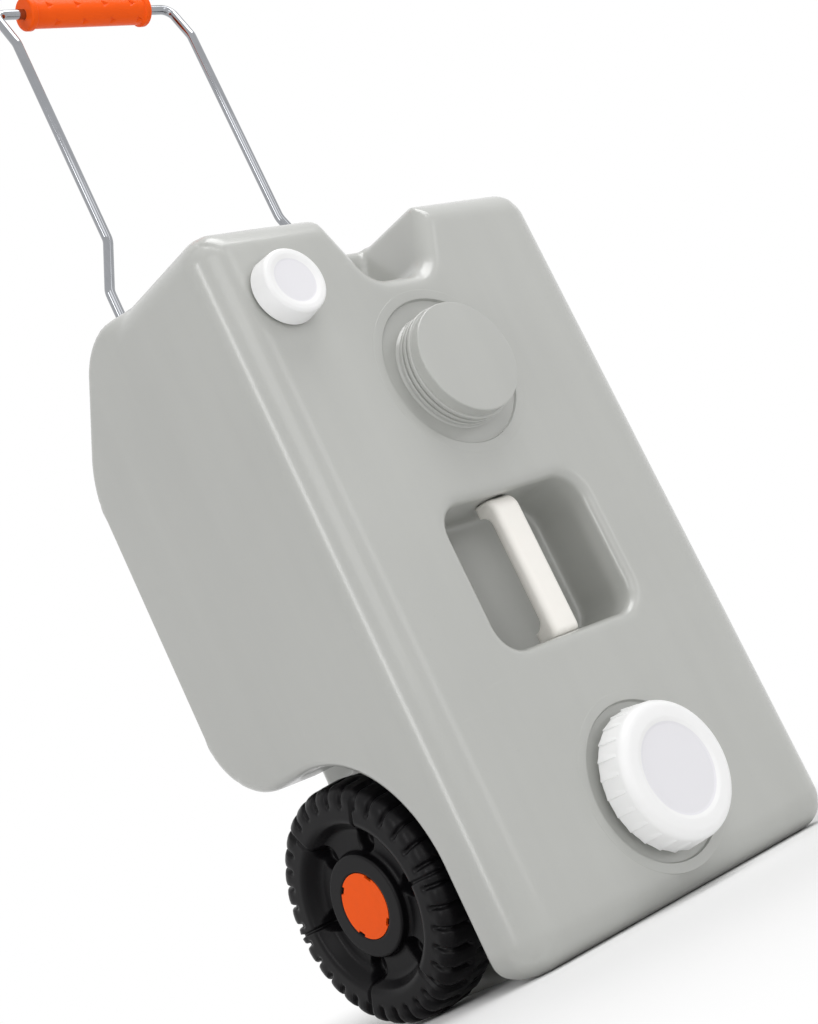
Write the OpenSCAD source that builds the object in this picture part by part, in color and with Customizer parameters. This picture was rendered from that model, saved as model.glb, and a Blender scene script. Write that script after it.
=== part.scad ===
// Rolling water carrier: a blow-moulded tank with screw caps, a carrying bar in a front recess,
// two wheels on a cross axle and a pull handle of bent rod that slides in grooves in the back.
// Millimetres, +Z up, the front face towards -Y, the origin on the floor under the middle.

/* [Tank] */
// Width of the tank
tank_w = 325; // [310:1:345]
// Depth of the tank without its caps
tank_depth = 233; // [225:1:245]
// Height of the tank
tank_h = 532; // [520:1:560]
// Thickness of the moulded wall
wall = 4; // [3:0.5:5]
// Rounding of the upright front edges
front_edge_r = 26; // [18:1:30]
// Rounding of the upright back edges
back_edge_r = 24; // [16:1:28]
// Rounding of the top and bottom edges
rim_edge_r = 24; // [16:1:28]
// How far the sloping shoulder runs in at the top of the back
shoulder_run = 55; // [45:1:65]
// How far the sloping shoulder comes down
shoulder_drop = 92; // [80:1:105]
// Rounding between the top and the shoulder
shoulder_top_r = 55; // [40:1:60]
// Rounding between the shoulder and the back
shoulder_low_r = 60; // [40:1:80]
// Rounding of the edges round pockets and wells
lip_r = 8; // [5:0.5:9]

/* [Wheel wells] */
// Gap between the tyre and the well
arch_gap = 12; // [10:1:15]
// Half width of the tank between the wheels
keel_half_w = 96; // [90:1:97]
// Rounding of the heel behind the well
heel_r = 30; // [20:1:35]
// Rounding of the foot in front of the well
foot_r = 18; // [12:1:20]

/* [Carrying recess] */
// Width of the recess
recess_w = 132; // [120:1:145]
// Height of the recess
recess_h = 100; // [90:1:110]
// Height of the middle of the recess
recess_z = 248; // [240:1:256]
// Depth of the recess
recess_depth = 58; // [50:1:65]
// Rounding of the recess corners
recess_corner_r = 20; // [12:1:28]
// Width of the carrying bar
bar_w = 22; // [18:1:26]
// Thickness of the carrying bar
bar_t = 11; // [9:0.5:14]
// Depth of the feet at the ends of the bar
bar_foot_t = 19; // [16:0.5:24]
// Height of each foot along the bar
bar_foot_h = 8; // [6:0.5:12]
// How far the bar sits behind the front face
bar_inset = 9; // [6:0.5:14]
// Diameter of the pegs that hold the bar
peg_d = 10; // [8:0.5:12]
// Length of the pegs
peg_l = 7; // [5:0.5:9]

/* [Top pocket] */
// Width of the pocket at the top
pocket_top_w = 100; // [90:1:110]
// Width of the pocket at its floor
pocket_floor_w = 50; // [46:1:60]
// Height of the pocket below the top
pocket_h = 58; // [50:1:64]
// Depth of the pocket behind the front face
pocket_depth = 75; // [65:1:80]
// Rounding where the walls meet the floor
pocket_floor_r = 22; // [16:1:24]
// Rounding of the pocket rim
pocket_lip_r = 15; // [10:1:16]

/* [Necks and caps] */
// Outer diameter of the large necks below the thread
neck_d = 83; // [78:1:86]
// How far the large necks stand out of the front face
neck_h = 21.5; // [18:0.5:24]
// Wall of the large necks
neck_wall = 4.5; // [3:0.5:6]
// Height of the drain neck above the floor
drain_z = 78; // [74:1:84]
// Height of the closed spare neck above the floor
spare_z = 394; // [386:1:400]
// Diameter of the shallow seat round the large necks
seat_d = 116; // [112:1:122]
// Depth of the shallow seat
seat_depth = 6; // [4:0.5:8]
// Diameter of the drain cap at its base
cap_d = 106; // [103:1:110]
// Diameter of the drain cap at its rim
cap_rim_d = 101; // [98:1:104]
// Length of the drain cap skirt along its axis
cap_h = 23; // [20:0.5:24]
// Thickness of the drain cap top
cap_top_t = 3; // [2.5:0.5:4]
// Rounding of the cap rims
cap_rim_r = 6; // [4:0.5:7]
// Diameter of the sunk disc in the drain cap
cap_disc_d = 66; // [60:1:72]
// Depth of the sunk discs
disc_sink = 1; // [0.6:0.1:1.4]
// Number of grip ribs round the drain cap
cap_ribs = 32; // [24:1:40]
// Height of the grip ribs
rib_h = 1.1; // [0.6:0.1:1.4]
// Radial room for the thread between a neck and its cap
thread_room = 2.8; // [2:0.1:3.2]
// Thickness of the sealing rings
seal_t = 2.5; // [2:0.5:3]
// Outer diameter of the vent neck below the thread
vent_neck_d = 32; // [28:1:34]
// How far the vent neck stands out
vent_neck_h = 13.5; // [12:0.5:16]
// Sideways place of the vent neck, left of the middle
vent_x = 113; // [108:1:116]
// Height of the vent neck above the floor
vent_z = 473; // [466:1:476]
// Diameter of the vent cap
vent_cap_d = 49; // [46:0.5:52]
// Length of the vent cap
vent_cap_h = 17; // [14:0.5:18]
// Diameter of the sunk disc in the vent cap
vent_disc_d = 31; // [28:1:34]

/* [Wheels] */
// Diameter of the wheels
wheel_d = 170; // [164:1:172]
// Width of the wheels
wheel_w = 48; // [45:1:49]
// Gap between the outer face of a wheel and the tank side
wheel_inset = 1.5; // [1:0.5:3]
// Distance of the axle behind the front face
axle_y = 142; // [138:1:146]
// Height of the tread over the floor when the tank stands upright
tread_lift = 0.5; // [0.3:0.1:1]
// Diameter of the axle
axle_d = 12; // [10:0.5:13]
// Radial running clearance of the wheels on the axle
wheel_clearance = 0.06; // [0.03:0.01:0.1]
// Radial clearance of the axle in the tank
axle_clearance = 0.1; // [0.05:0.01:0.2]
// Diameter of the flat hub disc
hub_disc_d = 72; // [68:1:76]
// How far the hub disc lies behind the widest part of the tyre
hub_sink = 4; // [3:0.5:6]
// Depth of the dish round the hub disc
dish_depth = 11; // [8:0.5:13]
// Width of the dish round the hub disc
dish_w = 16; // [13:0.5:18]
// Number of pockets in the dish
pocket_count = 6; // [5:1:8]
// Diameter of the pockets in the dish
dimple_d = 13; // [10:0.5:13.5]
// Number of tread grooves on each shoulder
tread_grooves = 34; // [24:1:40]
// Width of a tread groove
groove_w = 3.4; // [2:0.2:4]
// Depth of a tread groove
groove_depth = 3.5; // [2:0.5:5]
// Diameter of the orange hub caps
hub_cap_d = 46; // [42:1:48]
// Thickness of the hub cap flange
hub_cap_t = 2; // [1.5:0.1:2.5]
// Diameter of the hub cap spigot
hub_spigot_d = 36; // [32:1:38]
// Depth of the hub bore that hides the push nut
hub_bore_depth = 9; // [8:0.5:11]
// Outer diameter of the wheel spacers
spacer_d = 19; // [17:0.5:22]
// Outer diameter of the push nuts
push_nut_d = 24; // [20:0.5:26]
// Thickness of the push nuts
push_nut_t = 1.5; // [1.2:0.1:2]
// End play of the wheels
end_play = 0.3; // [0.2:0.1:0.5]

/* [Pull handle] */
// Diameter of the handle rod
rod_d = 8; // [7:0.5:9]
// Distance of the rods behind the front face
rod_y = 183; // [180:1:186]
// Distance of the lower rods from the middle
rod_low_x = 105; // [104:0.5:106]
// Distance of the upper rods from the middle
rod_high_x = 86; // [84:0.5:90]
// Slant of the rods where they draw together
joggle_angle = 24; // [20:1:30]
// Height at which the rods start to draw together
joggle_z = 576; // [572:1:584]
// Height of the grip above the floor
grip_z = 836; // [826:1:846]
// Backward tilt of the top of the loop
crank_angle = 18; // [12:1:24]
// Length of the tilted part of the loop
crank_l = 25; // [22:1:30]
// Radius of the slack bends in the rod
bend_r = 14; // [12:1:20]
// Radius of the two corners of the loop
corner_r = 9; // [8:0.5:12]
// Travel of the handle into the tank
handle_travel = 250; // [200:1:250]
// Diameter of the grip
grip_d = 23.5; // [22:0.5:26]
// Diameter of the end flanges of the grip
grip_flange_d = 27; // [25:0.5:29]
// Width of the end flanges of the grip
grip_flange_w = 6; // [4:0.5:8]
// Length of the grip
grip_l = 129; // [120:1:134]
// Wall of the grip
grip_wall = 2.5; // [2:0.25:3]
// Depth of the dents in the grip
dent_depth = 1.4; // [1:0.1:1.8]
// Running clearance of the rod in its guides and grip
rod_clearance = 0.06; // [0.03:0.01:0.1]

/* [Rod grooves and guides] */
// Distance of the inner wall of a groove from the middle
groove_in_x = 78; // [76:0.5:79]
// Distance of the outer wall of a groove from the middle
groove_out_x = 117; // [115:0.5:119]
// Distance of the groove floor behind the front face
groove_floor_y = 171; // [169:0.5:173]
// Height of each rod guide
guide_h = 14; // [12:0.5:16]
// Space between the lower and the upper guide
guide_gap = 21; // [16:0.5:22]
// Thickness of the guides
guide_t = 21; // [19:0.5:24]
// Side clearance of the guides in the grooves
guide_clearance = 0.3; // [0.2:0.05:0.5]
// Diameter of the guide screws
screw_d = 4; // [3.5:0.5:5]
// Length of the guide screws under the head
screw_l = 33; // [28:1:36]
// Diameter of the guide screw heads
screw_head_d = 8; // [7:0.5:9]
// Radial clearance of the guide screws
screw_clearance = 0.25; // [0.15:0.05:0.3]
// Diameter of the stops on the rod ends
stop_d = 12; // [11:0.5:13]
// Length of the stops on the rod ends
stop_l = 10; // [8:0.5:12]
// Gap between the raised stops and the lower guides
stop_gap = 0.3; // [0.2:0.1:0.5]

/* [Hidden] */
$fn = 64;

// Amount by which a cutter passes the face it cuts
over = 1;
// Share of its radius at which a rounding is centred, so that it meets the faces at a slight angle
round_share = cos(4);
lip_centre = cos(10);
// Straight lips lap into the curved ones, which are a trace larger
lip_lap = 0.3;
lip_swell = 0.15;

half_w = tank_w / 2;
large_r = neck_d / 2;
vent_r = vent_neck_d / 2;
cap_proud = neck_h + seal_t + cap_top_t;
front_y = -(tank_depth - cap_proud) / 2;
axle_z = wheel_d / 2 + tread_lift;
arch_r = wheel_d / 2 + arch_gap;
wheel_mid_x = half_w - wheel_inset - wheel_w / 2;
rod_r = rod_d / 2;
stop_top_z = joggle_z - handle_travel - bend_r - 2 * guide_h - guide_gap;
guide_low_z = stop_top_z + stop_gap;
guide_high_z = guide_low_z + guide_h + guide_gap;
rod_end_z = stop_top_z - stop_l;
guide_screw_x = groove_in_x + screw_head_d;
joggle_rise = (rod_low_x - rod_high_x - 2 * bend_r * (1 - cos(joggle_angle))) / sin(joggle_angle);
crank_z = grip_z - corner_r * cos(crank_angle) - crank_l * cos(crank_angle) - bend_r * sin(crank_angle);
grip_y = rod_y + (corner_r + crank_l) * sin(crank_angle) + bend_r * (1 - cos(crank_angle));

// Outlines and their rounding, on lists of corners that run counter-clockwise
function unit(v) = v / norm(v);
function inward(p, q) = let (d = unit(q - p)) [-d[1], d[0]];
function before(pts, i) = pts[(i + len(pts) - 1) % len(pts)];
function after(pts, i) = pts[(i + 1) % len(pts)];
function moved_corner(pts, i, g) =
    let (a = inward(before(pts, i), pts[i]), b = inward(pts[i], after(pts, i)))
    pts[i] + g * (a + b) / (1 + a * b);
function inset(pts, g) = [for (i = [0 : len(pts) - 1]) moved_corner(pts, i, g)];
function rounded_corner(pts, i, r) =
    let (c = moved_corner(pts, i, r))
    r > 0 ? [c - r * inward(before(pts, i), pts[i]), c - r * inward(pts[i], after(pts, i))] : [pts[i]];
function box(x0, y0, x1, y1) = [[x0, y0], [x1, y0], [x1, y1], [x0, y1]];
function shrunk(radii, g) = [for (r = radii) r > 0 ? max(r - g, 1) : 0];

module rounded_outline(pts, radii) {
    polygon([for (i = [0 : len(pts) - 1]) each rounded_corner(pts, i, radii[i])]);
    for (i = [0 : len(pts) - 1]) {
        if (radii[i] > 0) {
            translate(moved_corner(pts, i, round_share * radii[i])) circle(r = radii[i]);
        }
    }
}

// Frames in which a cutter's outline is flat and its depth runs into the tank
module at_front() {
    translate([0, front_y, 0]) children();
}

module from_front() {
    mirror([0, 1, -1]) children();
}

module from_top() {
    translate([0, 0, tank_h]) mirror([0, 0, 1]) children();
}

module from_back() {
    translate([0, tank_depth, 0]) rotate([90, 0, 0]) children();
}

module from_side(side) {
    translate([side * half_w, 0, 0]) mirror([side > 0 ? 1 : 0, 0, 0]) rotate([90, 0, 90]) children();
}

module both_sides() {
    for (side = [0, 1]) {
        mirror([side, 0, 0]) children();
    }
}

// Section that rounds the edge between a mouth and a wall: x runs into the wall, y down the mouth
module lip_section(r) {
    difference() {
        translate([-over, -over]) square(lip_centre * r + over);
        translate([lip_centre * r, lip_centre * r]) circle(r = r);
    }
}

module lip_edge(p, q, r) {
    translate(p)
        rotate(atan2(q[1] - p[1], q[0] - p[0]))
            rotate([90, 0, 90])
                translate([0, 0, -lip_lap])
                    linear_extrude(norm(q - p) + 2 * lip_lap) mirror([1, 0]) lip_section(r);
}

module lip_arc(centre, r, start, turn, lip, inside = false) {
    translate(centre)
        rotate(start)
            rotate_extrude(angle = turn)
                translate([r, 0]) mirror([inside ? 1 : 0, 0]) lip_section(lip + lip_swell);
}

module lip_round(pts, radii, r) {
    for (i = [0 : len(pts) - 1]) {
        from = rounded_corner(pts, i, radii[i]);
        to = rounded_corner(pts, (i + 1) % len(pts), after(radii, i));
        lip_edge(from[len(from) - 1], to[0], r);
        centre = moved_corner(pts, i, radii[i]);
        n = -inward(before(pts, i), pts[i]);
        m = -inward(pts[i], after(pts, i));
        lip_arc(centre, radii[i], atan2(n[1], n[0]), acos(n * m), r);
    }
}

// Tank: a block rounded along its three directions, cut by wells, grooves, recess and pocket
side_pts = [
    [0, 0],
    [tank_depth, 0],
    [tank_depth, tank_h - shoulder_drop],
    [tank_depth - shoulder_run, tank_h],
    [0, tank_h],
];
side_radii = [rim_edge_r, rim_edge_r, shoulder_low_r, shoulder_top_r, rim_edge_r];
plan_pts = box(-half_w, 0, half_w, tank_depth);
plan_radii = [front_edge_r, front_edge_r, back_edge_r, back_edge_r];
face_pts = box(-half_w, 0, half_w, tank_h);
face_radii = [rim_edge_r, rim_edge_r, rim_edge_r, rim_edge_r];
recess_pts = box(-recess_w / 2, recess_z - recess_h / 2, recess_w / 2, recess_z + recess_h / 2);
recess_radii = [recess_corner_r, recess_corner_r, recess_corner_r, recess_corner_r];
pocket_z = tank_h - pocket_h;
pocket_slope = (pocket_top_w - pocket_floor_w) / 2 / pocket_h;
pocket_reach = pocket_h + 40;
pocket_mouth_w = pocket_floor_w + 2 * pocket_slope * pocket_reach;
pocket_pts = [
    [-pocket_floor_w / 2, pocket_z],
    [pocket_floor_w / 2, pocket_z],
    [pocket_mouth_w / 2, pocket_z + pocket_reach],
    [-pocket_mouth_w / 2, pocket_z + pocket_reach],
];
pocket_radii = [pocket_floor_r, pocket_floor_r, 0, 0];
well_front_y = axle_y - arch_r;
well_top_z = axle_z + arch_r;
well_reach = 60;
well_pts = box(well_front_y, -well_reach, tank_depth + well_reach, well_top_z);
heel_centre = [tank_depth - heel_r, well_top_z + heel_r];
foot_centre = [well_front_y - foot_r, foot_r];

module block(g) {
    intersection() {
        translate([-half_w, 0, 0])
            rotate([90, 0, 90])
                linear_extrude(tank_w) rounded_outline(inset(side_pts, g), shrunk(side_radii, g));
        linear_extrude(tank_h) rounded_outline(inset(plan_pts, g), shrunk(plan_radii, g));
        from_front() linear_extrude(tank_depth) rounded_outline(inset(face_pts, g), shrunk(face_radii, g));
    }
}

module corner_beyond(centre, r, toward) {
    difference() {
        translate(centre) rotate(toward) square(2 * r);
        translate(centre) circle(r = r);
    }
}

module well_outline(g) {
    rounded_outline(inset(well_pts, -g), [0, 0, 0, arch_r + g]);
    corner_beyond(heel_centre, heel_r - g, -90);
    corner_beyond(foot_centre, foot_r - g, -90);
}

module well_lips() {
    foot_top = [well_front_y, foot_r];
    arch_start = [well_front_y, axle_z];
    arch_end = [axle_y, well_top_z];
    heel_start = [heel_centre[0], well_top_z];
    lip_edge(arch_start, foot_top, lip_r);
    lip_edge(heel_start, arch_end, lip_r);
    lip_arc([axle_y, axle_z], arch_r, 90, 90, lip_r);
    lip_arc(heel_centre, heel_r, -90, 90, lip_r, true);
    lip_arc(foot_centre, foot_r, -90, 90, lip_r, true);
}

module groove_outline(g) {
    square_x = [groove_in_x - g, groove_out_x + g];
    polygon(box(square_x[0], well_top_z - lip_r, square_x[1], tank_h + lip_r));
}

module cuts(g) {
    from_front() {
        translate([0, 0, -over]) {
            linear_extrude(recess_depth + g + over)
                rounded_outline(inset(recess_pts, -g), shrunk(recess_radii, -g));
            linear_extrude(pocket_depth + g + over)
                rounded_outline(inset(pocket_pts, -g), shrunk(pocket_radii, -g));
        }
        for (z = [drain_z, spare_z]) {
            translate([0, z, -over]) cylinder(d = seat_d + 2 * g, h = seat_depth + g + over);
        }
    }
    for (side = [-1, 1]) {
        from_side(side)
            translate([0, 0, -over]) linear_extrude(half_w - keel_half_w + g + over) well_outline(g);
    }
    both_sides() {
        from_back()
            translate([0, 0, -over])
                linear_extrude(tank_depth - groove_floor_y + g + over) groove_outline(g);
    }
}

// Rounding along the top of a leaning pocket wall
module leaning_rim(r, lean) {
    depth = lip_centre * r;
    up = [0, 1];
    out = [-cos(lean), sin(lean)];
    middle = (up + out) / (1 + up * out);
    centre = [pocket_top_w / 2, tank_h] - depth * middle;
    difference() {
        polygon([
            centre, centre + (depth + over) * up,
            centre + (depth + over) * middle, centre + (depth + over) * out,
        ]);
        translate(centre) circle(r = r);
    }
}

module lips() {
    intersection() {
        from_top() lip_edge([pocket_top_w, pocket_depth], [-pocket_top_w, pocket_depth], lip_r);
        from_front() linear_extrude(pocket_depth + 2 * lip_r) polygon(inset(pocket_pts, -lip_lap));
    }
    both_sides() {
        from_front()
            translate([0, 0, -over])
                linear_extrude(pocket_depth + over) leaning_rim(pocket_lip_r, atan(pocket_slope));
    }
    from_front() {
        lip_round(recess_pts, recess_radii, lip_r);
        floor_left = rounded_corner(pocket_pts, 0, pocket_floor_r);
        floor_right = rounded_corner(pocket_pts, 1, pocket_floor_r);
        lean = atan(pocket_slope);
        lip_edge(pocket_pts[3], floor_left[0], pocket_lip_r);
        lip_edge(floor_left[1], floor_right[0], pocket_lip_r);
        lip_edge(floor_right[1], pocket_pts[2], pocket_lip_r);
        for (side = [-1, 1]) {
            centre = moved_corner(pocket_pts, side > 0 ? 1 : 0, pocket_floor_r);
            start = side > 0 ? -90 : 180 + lean;
            lip_arc(centre, pocket_floor_r, start, 90 - lean, pocket_lip_r);
        }
    }
    for (side = [-1, 1]) {
        from_side(side) well_lips();
    }
    both_sides() {
        from_back() {
            lip_edge([groove_in_x, tank_h], [groove_in_x, well_top_z - lip_r], lip_r);
            lip_edge([groove_out_x, well_top_z - lip_r], [groove_out_x, tank_h], lip_r);
        }
    }
}

// What stands in the cavity: the pegs' sockets, the guide screws' bosses, the axle tunnel and the pocket's rim
module peg_holes(d, l) {
    for (end = [-1, 1]) {
        translate([0, bar_inset + bar_foot_t / 2, recess_z + end * recess_h / 2])
            rotate([end > 0 ? 0 : 180, 0, 0])
                translate([0, 0, -over]) cylinder(d = d, h = l + over);
    }
}

module guide_screw_places() {
    for (z = [guide_low_z, guide_high_z]) {
        translate([guide_screw_x, groove_floor_y, z + guide_h / 2]) rotate([90, 0, 0]) children();
    }
}

module axle_tunnel(d) {
    translate([-half_w, axle_y, axle_z]) rotate([0, 90, 0]) cylinder(d = d, h = tank_w);
}

screw_depth = screw_l - guide_t;
screw_hole_depth = screw_depth + over;
screw_hole_d = screw_d + 2 * screw_clearance;
tunnel_d = axle_d + 2 * axle_clearance;
peg_clearance = 0.1;
peg_hole_d = peg_d + 2 * peg_clearance;

module cavity() {
    difference() {
        block(wall);
        cuts(wall);
        from_front()
            linear_extrude(wall + pocket_lip_r)
                rounded_outline(inset(pocket_pts, -pocket_lip_r), shrunk(pocket_radii, -pocket_lip_r));
        peg_holes(peg_hole_d + 2 * wall, peg_l + 2 * wall);
        axle_tunnel(tunnel_d + 2 * wall);
        both_sides() {
            guide_screw_places() cylinder(d = screw_hole_d + 2 * wall, h = screw_hole_depth + wall);
        }
    }
}

module neck(d, h, z, x, base) {
    translate([x, base, z]) rotate([90, 0, 0]) cylinder(d = d, h = h + base);
}

module neck_bore(d, from, to, z, x) {
    translate([x, to, z]) rotate([90, 0, 0]) cylinder(d = d - 2 * neck_wall, h = to - from);
}

module tank_shell() {
    color("#babbb8") at_front() difference() {
        union() {
            difference() {
                block(0);
                cuts(0);
                lips();
            }
            neck(neck_d, neck_h, drain_z, 0, seat_depth + wall / 2);
            neck(neck_d, neck_h, spare_z, 0, seat_depth + wall / 2);
            neck(vent_neck_d, vent_neck_h, vent_z, -vent_x, wall / 2);
        }
        cavity();
        neck_bore(neck_d, -neck_h - over, seat_depth + 2 * wall, drain_z, 0);
        neck_bore(neck_d, -neck_h + neck_wall, seat_depth + 2 * wall, spare_z, 0);
        neck_bore(vent_neck_d, -vent_neck_h - over, 2 * wall, vent_z, -vent_x);
        peg_holes(peg_hole_d, peg_l + peg_clearance);
        axle_tunnel(tunnel_d);
        both_sides() {
            guide_screw_places()
                translate([0, 0, -over]) cylinder(d = screw_hole_d, h = screw_hole_depth + over);
        }
    }
}

// Caps: revolved about the neck's axis, with z = 0 on the front face and z up towards the viewer
module on_neck(x, z) {
    at_front() translate([x, 0, z]) rotate([90, 0, 0]) children();
}

module cap_body(base_r, rim_r, bore_r, low, top, sink_r) {
    difference() {
        rotate_extrude() {
            rounded_outline(
                [[0, low], [base_r, low], [rim_r, top], [0, top]],
                [0, 1, cap_rim_r, 0]
            );
        }
        translate([0, 0, low - over]) cylinder(r = bore_r, h = top - cap_top_t - low + over);
        translate([0, 0, top - disc_sink]) cylinder(r = sink_r, h = disc_sink + over);
    }
}

cap_low = cap_proud - cap_h;
cap_bore_r = large_r + thread_room;
rib_lean = atan((cap_d - cap_rim_d) / 2 / cap_h);
rib_root = 2;

module drain_cap() {
    color("#f2f2f2") on_neck(0, drain_z) {
        cap_body(cap_d / 2, cap_rim_d / 2, cap_bore_r, cap_low, cap_proud, cap_disc_d / 2);
        for (i = [0 : cap_ribs - 1]) {
            rotate(i * 360 / cap_ribs)
                translate([cap_d / 2, 0, cap_low + 2 * rib_h])
                    rotate([0, -rib_lean, 0])
                        translate([-rib_root, -rib_h, 0])
                            cube([rib_root + rib_h, 2 * rib_h, cap_h - cap_rim_r - 2 * rib_h]);
        }
    }
}

module seal_ring(outer_r, inner_r, z) {
    difference() {
        translate([0, 0, z]) cylinder(r = outer_r, h = seal_t);
        translate([0, 0, z - over]) cylinder(r = inner_r, h = seal_t + 2 * over);
    }
}

seal_clearance = 0.3;

module drain_cap_seal() {
    color("#3a3a3c")
        on_neck(0, drain_z) seal_ring(cap_bore_r - seal_clearance, large_r - 2 * neck_wall, neck_h);
}

vent_proud = vent_neck_h + seal_t + cap_top_t;
vent_bore_r = vent_r + thread_room;

module vent_cap() {
    color("#f2f2f2") on_neck(-vent_x, vent_z)
        cap_body(
            vent_cap_d / 2, vent_cap_d / 2, vent_bore_r,
            vent_proud - vent_cap_h, vent_proud, vent_disc_d / 2
        );
}

module vent_cap_seal() {
    color("#3a3a3c")
        on_neck(-vent_x, vent_z) seal_ring(vent_bore_r - seal_clearance, vent_r - 2 * neck_wall, vent_neck_h);
}

// Carrying bar: a bar across the recess with deeper feet, held by a peg at each end
bar_clearance = 0.2;
bar_l = recess_h - 2 * bar_clearance;
bar_edge_r = 4;
finger_r = bar_foot_t - bar_t;

module bar_outline(t) {
    rounded_outline(box(-bar_w / 2, 0, bar_w / 2, t), [bar_edge_r, bar_edge_r, bar_edge_r, bar_edge_r]);
}

module carry_bar() {
    color("#eeece8") at_front() translate([0, bar_inset, recess_z]) {
        translate([0, 0, -bar_l / 2]) linear_extrude(bar_l) bar_outline(bar_t);
        for (end = [0, 1]) {
            mirror([0, 0, end]) {
                difference() {
                    translate([0, 0, bar_l / 2 - bar_foot_h - finger_r])
                        linear_extrude(bar_foot_h + finger_r) bar_outline(bar_foot_t);
                    translate([-bar_w / 2 - over, bar_foot_t, bar_l / 2 - bar_foot_h - finger_r])
                        rotate([0, 90, 0]) cylinder(r = finger_r, h = bar_w + 2 * over);
                }
                translate([0, bar_foot_t / 2, bar_l / 2 - over])
                    cylinder(d = peg_d, h = peg_l + over);
            }
        }
    }
}

// Wheels: revolved about the axle, with z = 0 at the middle of the width and z up towards the outer face
module at_wheel(side) {
    at_front()
        translate([side * wheel_mid_x, axle_y, axle_z]) rotate([0, side * 90, 0]) children();
}

hub_top = wheel_w / 2 - hub_sink;
hub_low = -wheel_w / 2 + hub_sink;
dish_floor = wheel_w / 2 - dish_depth;
dish_out_r = hub_disc_d / 2 + dish_w;
tread_r = wheel_d / 2;
shoulder_r = 11;
shoulder_draft = 5;
crown_r = 20;
crown_rise = crown_r * (1 / cos(atan(2 * shoulder_draft / wheel_w)) - 1);
hub_seat_z = hub_top - hub_cap_t;
hub_bore_z = hub_seat_z - hub_bore_depth;
hub_cap_clearance = 0.1;
wheel_bore_d = axle_d + 2 * wheel_clearance;

module wheel_section() {
    difference() {
        rounded_outline(
            [
                [0, -wheel_w / 2], [tread_r - shoulder_draft, -wheel_w / 2], [tread_r + crown_rise, 0],
                [tread_r - shoulder_draft, wheel_w / 2], [0, wheel_w / 2],
            ],
            [0, shoulder_r, crown_r, shoulder_r, 0]
        );
        for (end = [0, 1]) {
            mirror([0, end]) {
                translate([-over, hub_top]) square([dish_out_r + over, hub_sink + over]);
                rounded_outline(
                    [
                        [hub_disc_d / 2, dish_floor], [dish_out_r, dish_floor],
                        [dish_out_r + dish_w / 2, wheel_w / 2 + over], [hub_disc_d / 2, wheel_w / 2 + over],
                    ],
                    [3, 5, 0, 0]
                );
            }
        }
    }
}

module tread_groove() {
    bottom = tread_r - groove_depth;
    side = tread_r - shoulder_draft - 2 * groove_depth;
    start = 3;
    face = wheel_w / 2;
    rotate([90, 0, 0])
        translate([0, 0, -groove_w / 2])
            linear_extrude(groove_w)
                polygon([
                    [bottom, start], [tread_r + over, start], [tread_r + over, face + over],
                    [side, face + over], [side, face - groove_depth], [bottom, face - 2 * groove_depth],
                ]);
}

module wheel(side) {
    color("#28272a") at_wheel(side) difference() {
        rotate_extrude() wheel_section();
        translate([0, 0, -wheel_w]) cylinder(d = wheel_bore_d, h = 2 * wheel_w);
        translate([0, 0, hub_seat_z]) cylinder(d = hub_cap_d + 2 * hub_cap_clearance, h = wheel_w);
        translate([0, 0, hub_bore_z]) cylinder(d = hub_spigot_d + 2 * hub_cap_clearance, h = wheel_w);
        for (i = [0 : pocket_count - 1]) {
            rotate(i * 360 / pocket_count)
                translate([hub_disc_d / 2 + dish_w / 2, 0, dish_floor - dish_depth])
                    cylinder(d = dimple_d, h = wheel_w);
        }
        for (i = [0 : tread_grooves - 1]) {
            rotate(i * 360 / tread_grooves) tread_groove();
            rotate((i + 0.5) * 360 / tread_grooves) mirror([0, 0, 1]) tread_groove();
        }
    }
}

module left_wheel() {
    wheel(-1);
}

module right_wheel() {
    wheel(1);
}

notch_count = 4;
notch_w = 6;
notch_depth = 2;
spigot_wall = 2;
spigot_l = 4;

module hub_cap(side) {
    color("#ff621c") at_wheel(side) difference() {
        union() {
            translate([0, 0, hub_seat_z]) cylinder(d = hub_cap_d, h = hub_cap_t);
            translate([0, 0, hub_seat_z - spigot_l]) cylinder(d = hub_spigot_d, h = spigot_l + hub_cap_t / 2);
        }
        translate([0, 0, hub_seat_z - spigot_l - over])
            cylinder(d = hub_spigot_d - 2 * spigot_wall, h = spigot_l + over);
        for (i = [0 : notch_count - 1]) {
            rotate((i + 0.5) * 360 / notch_count)
                translate([hub_cap_d / 2 - notch_depth, -notch_w / 2, hub_seat_z - over])
                    cube([2 * notch_depth, notch_w, hub_cap_t + 2 * over]);
        }
    }
}

module left_hub_cap() {
    hub_cap(-1);
}

module right_hub_cap() {
    hub_cap(1);
}

axle_end_gap = 1;
axle_l = 2 * (wheel_mid_x + hub_seat_z - spigot_l - axle_end_gap);
axle_end_r = 1;

module axle() {
    color("#b9bcc0") at_front() translate([0, axle_y, axle_z]) rotate([0, 90, 0])
        rotate_extrude()
            rounded_outline(
                box(0, -axle_l / 2, axle_d / 2, axle_l / 2), [0, axle_end_r, axle_end_r, 0]
            );
}

module ring_on_axle(d, z, h) {
    difference() {
        translate([0, 0, z]) cylinder(d = d, h = h);
        translate([0, 0, z - over]) cylinder(d = wheel_bore_d, h = h + 2 * over);
    }
}

module push_nut(side) {
    color("#c9ccd0") at_wheel(side) ring_on_axle(push_nut_d, hub_bore_z + end_play, push_nut_t);
}

module left_push_nut() {
    push_nut(-1);
}

module right_push_nut() {
    push_nut(1);
}

spacer_l = wheel_mid_x + hub_low - keel_half_w - 2 * end_play;

module wheel_spacer(side) {
    color("#d8d8d4") at_wheel(side) ring_on_axle(spacer_d, hub_low - end_play - spacer_l, spacer_l);
}

module left_wheel_spacer() {
    wheel_spacer(-1);
}

module right_wheel_spacer() {
    wheel_spacer(1);
}

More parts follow.
